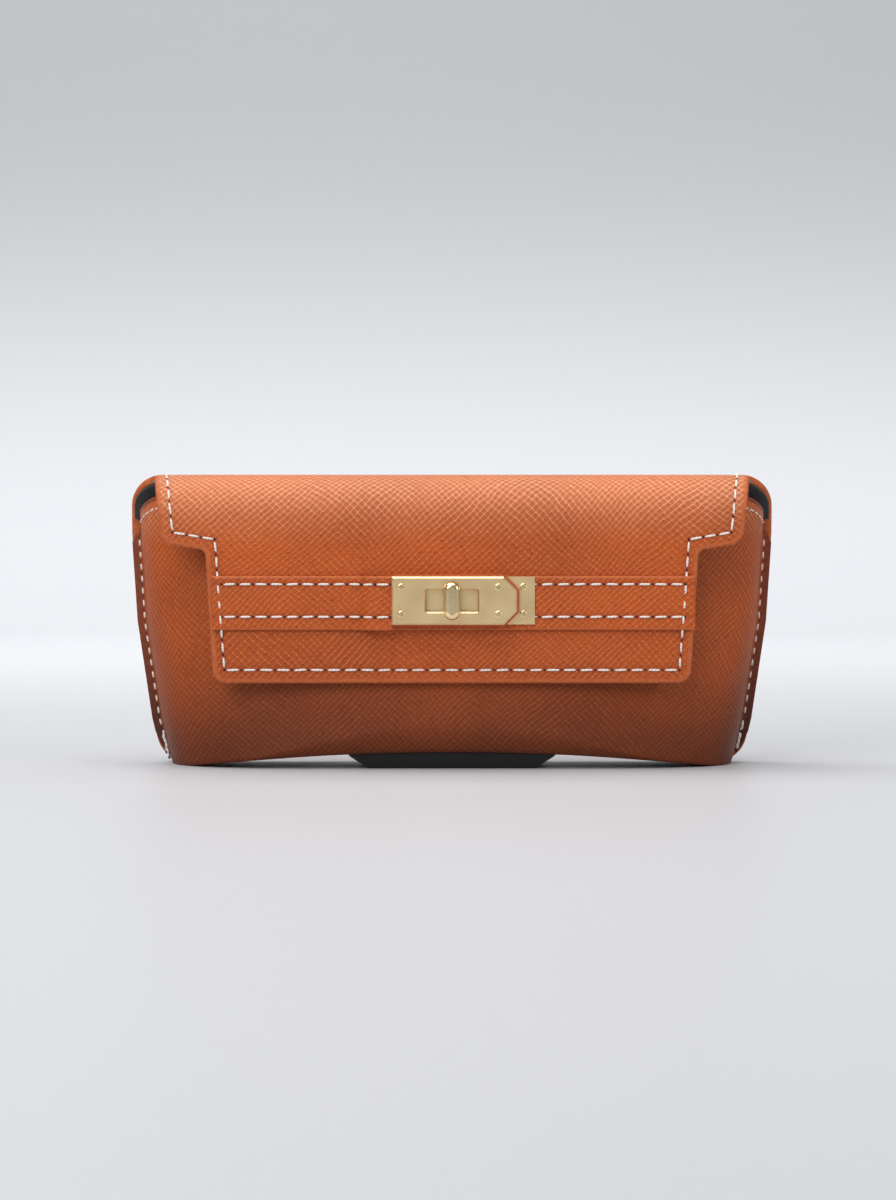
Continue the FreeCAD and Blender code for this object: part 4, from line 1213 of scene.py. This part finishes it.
class Net:
    """A geometry node tree that is being put together."""

    def __init__(self, name):
        self.tree = bpy.data.node_groups.new(name, "GeometryNodeTree")
        self.tree.interface.new_socket("Geometry", in_out="OUTPUT", socket_type="NodeSocketGeometry")
        self.tree.interface.new_socket("Geometry", in_out="INPUT", socket_type="NodeSocketGeometry")

    def expect(self, name, kind):
        return self.tree.interface.new_socket(name, in_out="INPUT", socket_type=kind).identifier

    def node(self, kind, settings=None, inputs=None):
        made = self.tree.nodes.new(kind)
        for key, value in (settings or {}).items():
            setattr(made, key, value)
        for key, value in (inputs or {}).items():
            if isinstance(value, bpy.types.NodeSocket):
                self.tree.links.new(value, made.inputs[key])
            else:
                made.inputs[key].default_value = value
        return made

    def named(self, name, kind="FLOAT"):
        return self.node("GeometryNodeInputNamedAttribute", {"data_type": kind}, {"Name": name}).outputs[0]

    def vector(self, operation, first, second):
        return self.node("ShaderNodeVectorMath", {"operation": operation}, {0: first, 1: second})

    def times(self, first, second):
        return self.node("ShaderNodeMath", {"operation": "MULTIPLY"}, {0: first, 1: second}).outputs[0]


def stitch_net():
    """Sews stitches along the lines of a mesh, between needle holes."""
    net = Net("Stitch run")
    names = {}
    for name, kind in (("Stitch", "NodeSocketObject"), ("Hole", "NodeSocketObject"),
                       ("Thread", "NodeSocketMaterial"), ("Inside", "NodeSocketMaterial"),
                       ("Slant", "NodeSocketFloat"), ("Seed", "NodeSocketInt")):
        names[name] = net.expect(name, kind)
    given = net.node("NodeGroupInput").outputs
    lines = net.node("GeometryNodeMeshToCurve", {}, {"Mesh": given["Geometry"]}).outputs[0]
    spaced = net.node("GeometryNodeResampleCurve", {"mode": "LENGTH"},
                      {"Curve": lines, "Length": net.named("pitch")}).outputs[0]
    wire = net.node("GeometryNodeCurveToMesh", {}, {"Curve": spaced}).outputs[0]
    ends = net.node("GeometryNodeInputMeshEdgeVertices").outputs
    along = net.vector("SUBTRACT", ends["Position 2"], ends["Position 1"]).outputs[0]
    kept = net.node("GeometryNodeStoreNamedAttribute", {"data_type": "FLOAT_VECTOR", "domain": "EDGE"},
                    {"Geometry": wire, "Name": "run", "Value": along}).outputs[0]
    middles = net.node("GeometryNodeMeshToPoints", {"mode": "EDGES"}, {"Mesh": kept}).outputs[0]
    run, out = net.named("run", "FLOAT_VECTOR"), net.named("out", "FLOAT_VECTOR")
    wander = net.node("FunctionNodeRandomValue", {"data_type": "FLOAT"},
                      {"Min": -0.6, "Max": 1.4, "Seed": given["Seed"]}).outputs[1]
    lean = net.times(wander, given["Slant"])
    aside = net.vector("CROSS_PRODUCT", out, run).outputs[0]
    aside = net.node("ShaderNodeVectorMath", {"operation": "SCALE"}, {0: aside, "Scale": lean}).outputs[0]
    leaning = net.vector("ADD", run, aside).outputs[0]
    turned = net.node("FunctionNodeAxesToRotation", {"primary_axis": "X", "secondary_axis": "Z"},
                      {0: leaning, 1: out}).outputs[0]
    reach = net.node("ShaderNodeVectorMath", {"operation": "LENGTH"}, {0: run}).outputs["Value"]
    varied = net.node("FunctionNodeRandomValue", {"data_type": "FLOAT"},
                      {"Min": 0.93, "Max": 1.06, "Seed": 11}).outputs[1]
    shown = net.times(net.times(reach, net.named("share")), varied)
    thick = net.named("thickness")
    size = net.node("ShaderNodeCombineXYZ", {}, {0: shown, 1: thick, 2: thick}).outputs[0]
    stitch = net.node("GeometryNodeObjectInfo", {}, {"Object": given["Stitch"]}).outputs["Geometry"]
    stitches = net.node("GeometryNodeInstanceOnPoints", {},
                        {"Points": middles, "Instance": stitch, "Rotation": turned, "Scale": size}).outputs[0]
    stitches = net.node("GeometryNodeRealizeInstances", {}, {"Geometry": stitches}).outputs[0]
    stitches = net.node("GeometryNodeSetMaterial", {},
                        {"Geometry": stitches, "Material": given["Thread"]}).outputs[0]
    spots = net.node("GeometryNodeMeshToPoints", {"mode": "VERTICES"}, {"Mesh": wire}).outputs[0]
    upright = net.node("FunctionNodeAlignRotationToVector", {"axis": "Z"}, {"Vector": out}).outputs[0]
    hole = net.node("GeometryNodeObjectInfo", {}, {"Object": given["Hole"]}).outputs["Geometry"]
    wide = net.times(thick, 1.25)
    holes = net.node("GeometryNodeInstanceOnPoints", {},
                     {"Points": spots, "Instance": hole, "Rotation": upright, "Scale": wide}).outputs[0]
    holes = net.node("GeometryNodeRealizeInstances", {}, {"Geometry": holes}).outputs[0]
    holes = net.node("GeometryNodeSetMaterial", {}, {"Geometry": holes, "Material": given["Inside"]}).outputs[0]
    both = net.node("GeometryNodeJoinGeometry")
    for part in (holes, stitches):
        net.tree.links.new(part, both.inputs[0])
    net.node("NodeGroupOutput", {}, {0: both.outputs[0]})
    return net.tree, names


def sew(name, runs):
    """Stitches along runs of (places, outward directions, pitch, share shown, thickness)."""
    points, outs, pitches, shares, thicks, edges = [], [], [], [], [], []
    for places, out, pitch, share, thick in runs:
        start = len(points)
        points += [tuple(p) for p in places]
        outs += [tuple(o) for o in out]
        pitches += [pitch] * len(places)
        shares += [share] * len(places)
        thicks += [thick] * len(places)
        edges += [(start + k, start + k + 1) for k in range(len(places) - 1)]
    mesh = bpy.data.meshes.new(name + "_lines")
    mesh.from_pydata(points, edges, [])
    lines = bpy.data.objects.new(name + "_lines", mesh)
    bpy.context.scene.collection.objects.link(lines)
    store(lines, "out", "FLOAT_VECTOR", outs)
    for key, values in (("pitch", pitches), ("share", shares), ("thickness", thicks)):
        store(lines, key, "FLOAT", values)
    thread = setting("thread")
    tree, names = stitch_net()
    modifier = lines.modifiers.new("Stitches", "NODES")
    modifier.node_group = tree
    stitch, hole = stitch_shape(), hole_shape()
    for key, value in (("Stitch", stitch), ("Hole", hole), ("Slant", thread.slant), ("Seed", thread.seed),
                       ("Thread", shared("Thread", thread_finish)),
                       ("Inside", shared("Needle hole", hole_finish))):
        modifier[names[key]] = value
    evaluated = lines.evaluated_get(bpy.context.evaluated_depsgraph_get())
    sewn = bpy.data.meshes.new_from_object(evaluated)
    sewn.name = name
    sewn.shade_smooth()
    piece = bpy.data.objects.new(name, sewn)
    bpy.context.scene.collection.objects.link(piece)
    for helper in (lines, stitch, hole):
        bpy.data.objects.remove(helper)
    if not len(sewn.polygons):
        raise RuntimeError(name + " has no stitches")
    return piece


def cover_run(line, pitch, share, thick, depth=0.0):
    """A run of stitches on the cover's outer face, on top of the straps where they cross."""
    flat = even(np.array(line, float), 0.8 * MM)
    _, _, out_forward, out_up = cover_line(flat[:, 1])
    out = np.column_stack([np.zeros(len(flat)), -out_forward, out_up])
    z = TOP_Z - FRONT_ROUND - (flat[:, 1] - V_FRONT)
    over = (np.abs(flat[:, 0]) < STRAP_END) & (z > STRAP_LOW) & (z < STRAP_HIGH) & (flat[:, 1] > V_FRONT)
    over &= np.ptp(flat[:, 1]) > 5.0 * MM
    return on_cover(flat, depth - STRAP_THICK * over), out, pitch, share, thick


def even(line, step):
    """The line with points no further apart than step."""
    dense = [line[0]]
    for a, b in zip(line[:-1], line[1:]):
        parts = max(1, math.ceil(np.linalg.norm(b - a) / step))
        dense += [a + (b - a) * s / parts for s in range(1, parts + 1)]
    return np.array(dense)


# thread ends worked over each other at the seams' feet: (from height, to height, lean, thickness)
BACK_TACKS = ((-1, ((8.6, 5.6, 0.25, 1.1), (7.4, 3.8, -0.3, 1.35),
                    (6.2, 2.6, 0.35, 1.2), (5.2, 1.2, 0.0, 1.0))),
              (1, ((11.0, 8.5, 0.15, 1.25), (10.6, 8.1, -0.15, 1.1),
                   (8.3, 3.1, 0.1, 1.3), (7.8, 3.4, -0.2, 1.1))))


def build_stitching():
    thread = setting("thread")
    thick = thread.thickness
    runs = []
    for line, pitch, share in cover_stitch_lines():
        runs.append(cover_run(line, pitch, share, thick, depth=0.10 * MM))
    piece = sew("cover_stitching", runs)
    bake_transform(piece)

    runs = []
    for _, left, right, bend in strap_sides():
        for z in strap_lines():
            climbs = left < -30 * MM
            start, end = (2.6 * MM, 0.6 * MM) if climbs else (20 * MM, 2.6 * MM)
            line = even(np.array([(left + start, -z), (right - end, -z)]), 0.8 * MM)
            over = np.exp(-((line[:, 0] + 21.2 * MM) / (1.9 * MM)) ** 2) * climbs
            places = bend(line, (0.06 - 0.34 * over) * MM)
            runs.append((places, [(0, -1, 0)] * len(line), thread.strap_pitch, 0.74, thick))
    piece = sew("strap_stitching", runs)
    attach(piece, "flap")

    runs = []
    for side in (1, -1):
        heights = np.linspace(9.0 * MM, SEAM_TOP - 1.0 * MM, 60)
        x = side * (seam_half(heights) - SEAM_FIN + 0.62 * MM)
        places = np.column_stack([x, np.full(60, in_body(2 * SKIN + 0.05 * MM)), heights])
        runs.append((places, [(0, -1, 0)] * 60, thread.seam_pitch, 0.60, thick))
    for side, tacks in BACK_TACKS:
        for start, end, swing, thick_by in tacks:
            heights = np.linspace(start, end, 5) * MM
            across = seam_half(heights) - SEAM_FIN + 0.62 * MM + swing * MM * np.linspace(-1, 1, 5)
            x = side * across
            places = np.column_stack([x, np.full(5, in_body(2 * SKIN + 0.25 * MM)), heights])
            runs.append((places, [(0, -1, 0)] * 5, abs(start - end) * MM, 1.0, thick_by * thick))
    columns = [c for c in pouch_columns() if c[0] == "wall"][2:-2]
    rim = []
    for column in columns:
        x, forward = pouch_place(column, np.array([NEAR_MOUTH]), 0.0)
        z = mouth_top(x, forward) - 3.0 * MM
        x, forward = pouch_place(column, z, 0.0)
        rim.append((x[0], in_body(forward[0]), z[0]))
    rim = np.array(rim)
    tangent = np.gradient(rim, axis=0)
    out = np.cross(tangent, (0, 0, 1.0))
    out /= np.linalg.norm(out, axis=1)[:, None]
    if out[len(out) // 2][1] > 0:
        out = -out
    runs.append((rim, out, 2.6 * MM, 0.93, thick * 0.62))
    piece = sew("pouch_stitching", runs)
    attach(piece, "case")


# ------------------------------------------------------------------ metal parts and boards
def paint_nodes(names, material):
    for name in names:
        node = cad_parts[name]
        for k in range(max(1, len(node.material_slots))):
            if node.material_slots:
                node.material_slots[k].material = material
            else:
                node.data.materials.append(material)


def build_metalwork():
    metal = setting("metal")
    satin = metal_finish("Satin gold", metal.gold, 0.30, 0.10, 0.12)
    polished = metal_finish("Polished gold", metal.bright_gold, 0.16, 0.03, 0.05)
    steel = metal_finish("Plain steel", metal.steel, 0.34, 0.12, 0.2)
    nickel = metal_finish("Nickel plate", (0.60, 0.58, 0.54), 0.24, 0.05, 0.1)
    paint_nodes(["base_plate", "hasp_plate"], satin)
    paint_nodes(["base_plate_screws", "hasp_screws", "turn_knob", "knob_rivet"], polished)
    paint_nodes(["base_backing", "base_plate_flush_screws", "hasp_back_plate", "detent_spring",
                 "knob_washer"], steel)
    paint_nodes(["front_magnets", "flap_magnets"], nickel)
    paint_nodes(["back_board", "front_former", "flap_board"], board_finish("Fibre board"))


# ------------------------------------------------------------------ studio
CAMERA_AWAY = 1.28      # metres from what it looks at
CAMERA_LENS = 148.6     # millimetres
AIM_X, AIM_FORWARD, AIM_Z = -1.0 * MM, 20.0 * MM, 43.0 * MM
AIR_COLOUR, AIR_STRENGTH = (0.93, 0.95, 1.0, 1.0), 0.26
BACKDROP_POWER = 6.0    # watts
SIDE_SHARE = 0.35       # side fill's power over the front light's


def soft_light(name, place, aim, width, depth, power):
    light = bpy.data.lights.new(name, "AREA")
    light.shape = "RECTANGLE"
    light.size, light.size_y = width, depth
    light.energy = power
    lamp = bpy.data.objects.new(name, light)
    bpy.context.scene.collection.objects.link(lamp)
    lamp.location = place
    lamp.rotation_euler = (Vector(aim) - Vector(place)).to_track_quat("-Z", "Y").to_euler()
    return lamp


def build_sweep():
    """Floor that curves up into a backdrop."""
    half, near, far, bend, top = 3.0, -2.5, 1.4, 0.5, 2.6
    profile = [(near, 0.0)] + [(y, 0.0) for y in np.linspace(-0.6, far - bend, 14)]
    profile += [(far - bend + bend * math.sin(a), bend - bend * math.cos(a))
                for a in np.linspace(0.08, math.pi / 2, 14)]
    profile.append((far, top))
    points = [(x, y, z) for y, z in profile for x in (-half, half)]
    faces = [[2 * k, 2 * k + 1, 2 * k + 3, 2 * k + 2] for k in range(len(profile) - 1)]
    sweep = new_piece("studio_sweep", points, faces, [studio_finish("Studio paper")])


def build_studio():
    studio = setting("studio")
    scene = bpy.context.scene
    build_sweep()
    scene.view_settings.view_transform = "Standard"
    world = bpy.data.worlds.new("Studio air")
    world.use_nodes = True
    world.node_tree.nodes["Background"].inputs["Color"].default_value = AIR_COLOUR
    world.node_tree.nodes["Background"].inputs["Strength"].default_value = AIR_STRENGTH
    scene.world = world
    soft_light("Top softbox", (-0.15, -0.10, 0.95), (0.0, 0.0, 0.03), 1.3, 0.8, studio.top_light)
    soft_light("Front softbox", (-0.55, -1.05, 0.65), (0.0, 0.0, 0.04), 0.8, 0.6, studio.front_light)
    soft_light("Side fill", (0.95, -0.65, 0.45), (0.0, 0.0, 0.04), 0.5, 0.6,
               SIDE_SHARE * studio.front_light)
    soft_light("Backdrop light", (0.0, 0.55, 0.9), (0.0, 1.1, 0.05), 2.0, 0.3, BACKDROP_POWER)
    camera = bpy.data.objects.new("Camera", bpy.data.cameras.new("Camera"))
    scene.collection.objects.link(camera)
    aim = Vector((AIM_X, in_body(AIM_FORWARD), AIM_Z))
    back = Vector((0.0, -math.cos(studio.elevation), math.sin(studio.elevation)))
    camera.location = aim + back * CAMERA_AWAY
    camera.rotation_euler = (-back).to_track_quat("-Z", "Y").to_euler()
    camera.data.lens = CAMERA_LENS
    camera.data.clip_start, camera.data.clip_end = 0.02, 30.0
    scene.camera = camera


# ------------------------------------------------------------------ operators and panel
class CASE_OT_cover(bpy.types.Operator):
    """Cut, bend and line the leather of the back, the arch and the flap."""
    bl_idname = "eyeglasses_case.cover"
    bl_label = "Build Cover"

    def execute(self, context):
        build_cover()
        return {"FINISHED"}


class CASE_OT_pouch(bpy.types.Operator):
    """Mould the leather front of the pouch and its suede."""
    bl_idname = "eyeglasses_case.pouch"
    bl_label = "Build Pouch"

    def execute(self, context):
        build_pouch()
        build_foot()
        return {"FINISHED"}


class CASE_OT_straps(bpy.types.Operator):
    """Lay the two straps on the flap and cut the clasp's tab."""
    bl_idname = "eyeglasses_case.straps"
    bl_label = "Build Straps"

    def execute(self, context):
        build_straps()
        build_tab()
        return {"FINISHED"}


class CASE_OT_stitching(bpy.types.Operator):
    """Sew the edges of the cover, the straps and the pouch."""
    bl_idname = "eyeglasses_case.stitching"
    bl_label = "Sew"

    def execute(self, context):
        build_stitching()
        return {"FINISHED"}


class CASE_OT_metalwork(bpy.types.Operator):
    """Finish the clasp, its fixings, the magnets and the boards."""
    bl_idname = "eyeglasses_case.metalwork"
    bl_label = "Finish Metalwork"

    def execute(self, context):
        build_metalwork()
        return {"FINISHED"}


class CASE_OT_studio(bpy.types.Operator):
    """Set up the floor, the lights and the camera."""
    bl_idname = "eyeglasses_case.studio"
    bl_label = "Set Up Studio"

    def execute(self, context):
        build_studio()
        return {"FINISHED"}


OPERATORS = (CASE_OT_cover, CASE_OT_pouch, CASE_OT_straps, CASE_OT_stitching, CASE_OT_metalwork,
             CASE_OT_studio)
GROUPS = {"leather": CaseLeather, "thread": CaseThread, "metal": CaseMetal, "studio": CaseStudio}


class CASE_PT_workshop(bpy.types.Panel):
    """Lists the steps and the settings of the case."""
    bl_idname = "CASE_PT_workshop"
    bl_label = "Eyeglasses Case"
    bl_space_type = "VIEW_3D"
    bl_region_type = "UI"
    bl_category = "Eyeglasses Case"

    def draw(self, context):
        for operator in OPERATORS:
            self.layout.operator(operator.bl_idname)
        for name, group in GROUPS.items():
            column = self.layout.box().column()
            column.label(text=name.capitalize())
            for key in group.__annotations__:
                column.prop(getattr(context.scene, "eyeglasses_case_" + name), key)


CLASSES = (*GROUPS.values(), *OPERATORS, CASE_PT_workshop)


def register():
    for cls in CLASSES:
        bpy.utils.register_class(cls)
    for name, group in GROUPS.items():
        setattr(bpy.types.Scene, "eyeglasses_case_" + name, PointerProperty(type=group))


def unregister():
    for name in GROUPS:
        delattr(bpy.types.Scene, "eyeglasses_case_" + name)
    for cls in reversed(CLASSES):
        bpy.utils.unregister_class(cls)


def main():
    register()
    for operator in OPERATORS:
        name = operator.bl_idname.split(".")[1]
        getattr(bpy.ops.eyeglasses_case, name)()


if __name__ == "__main__":
    main()
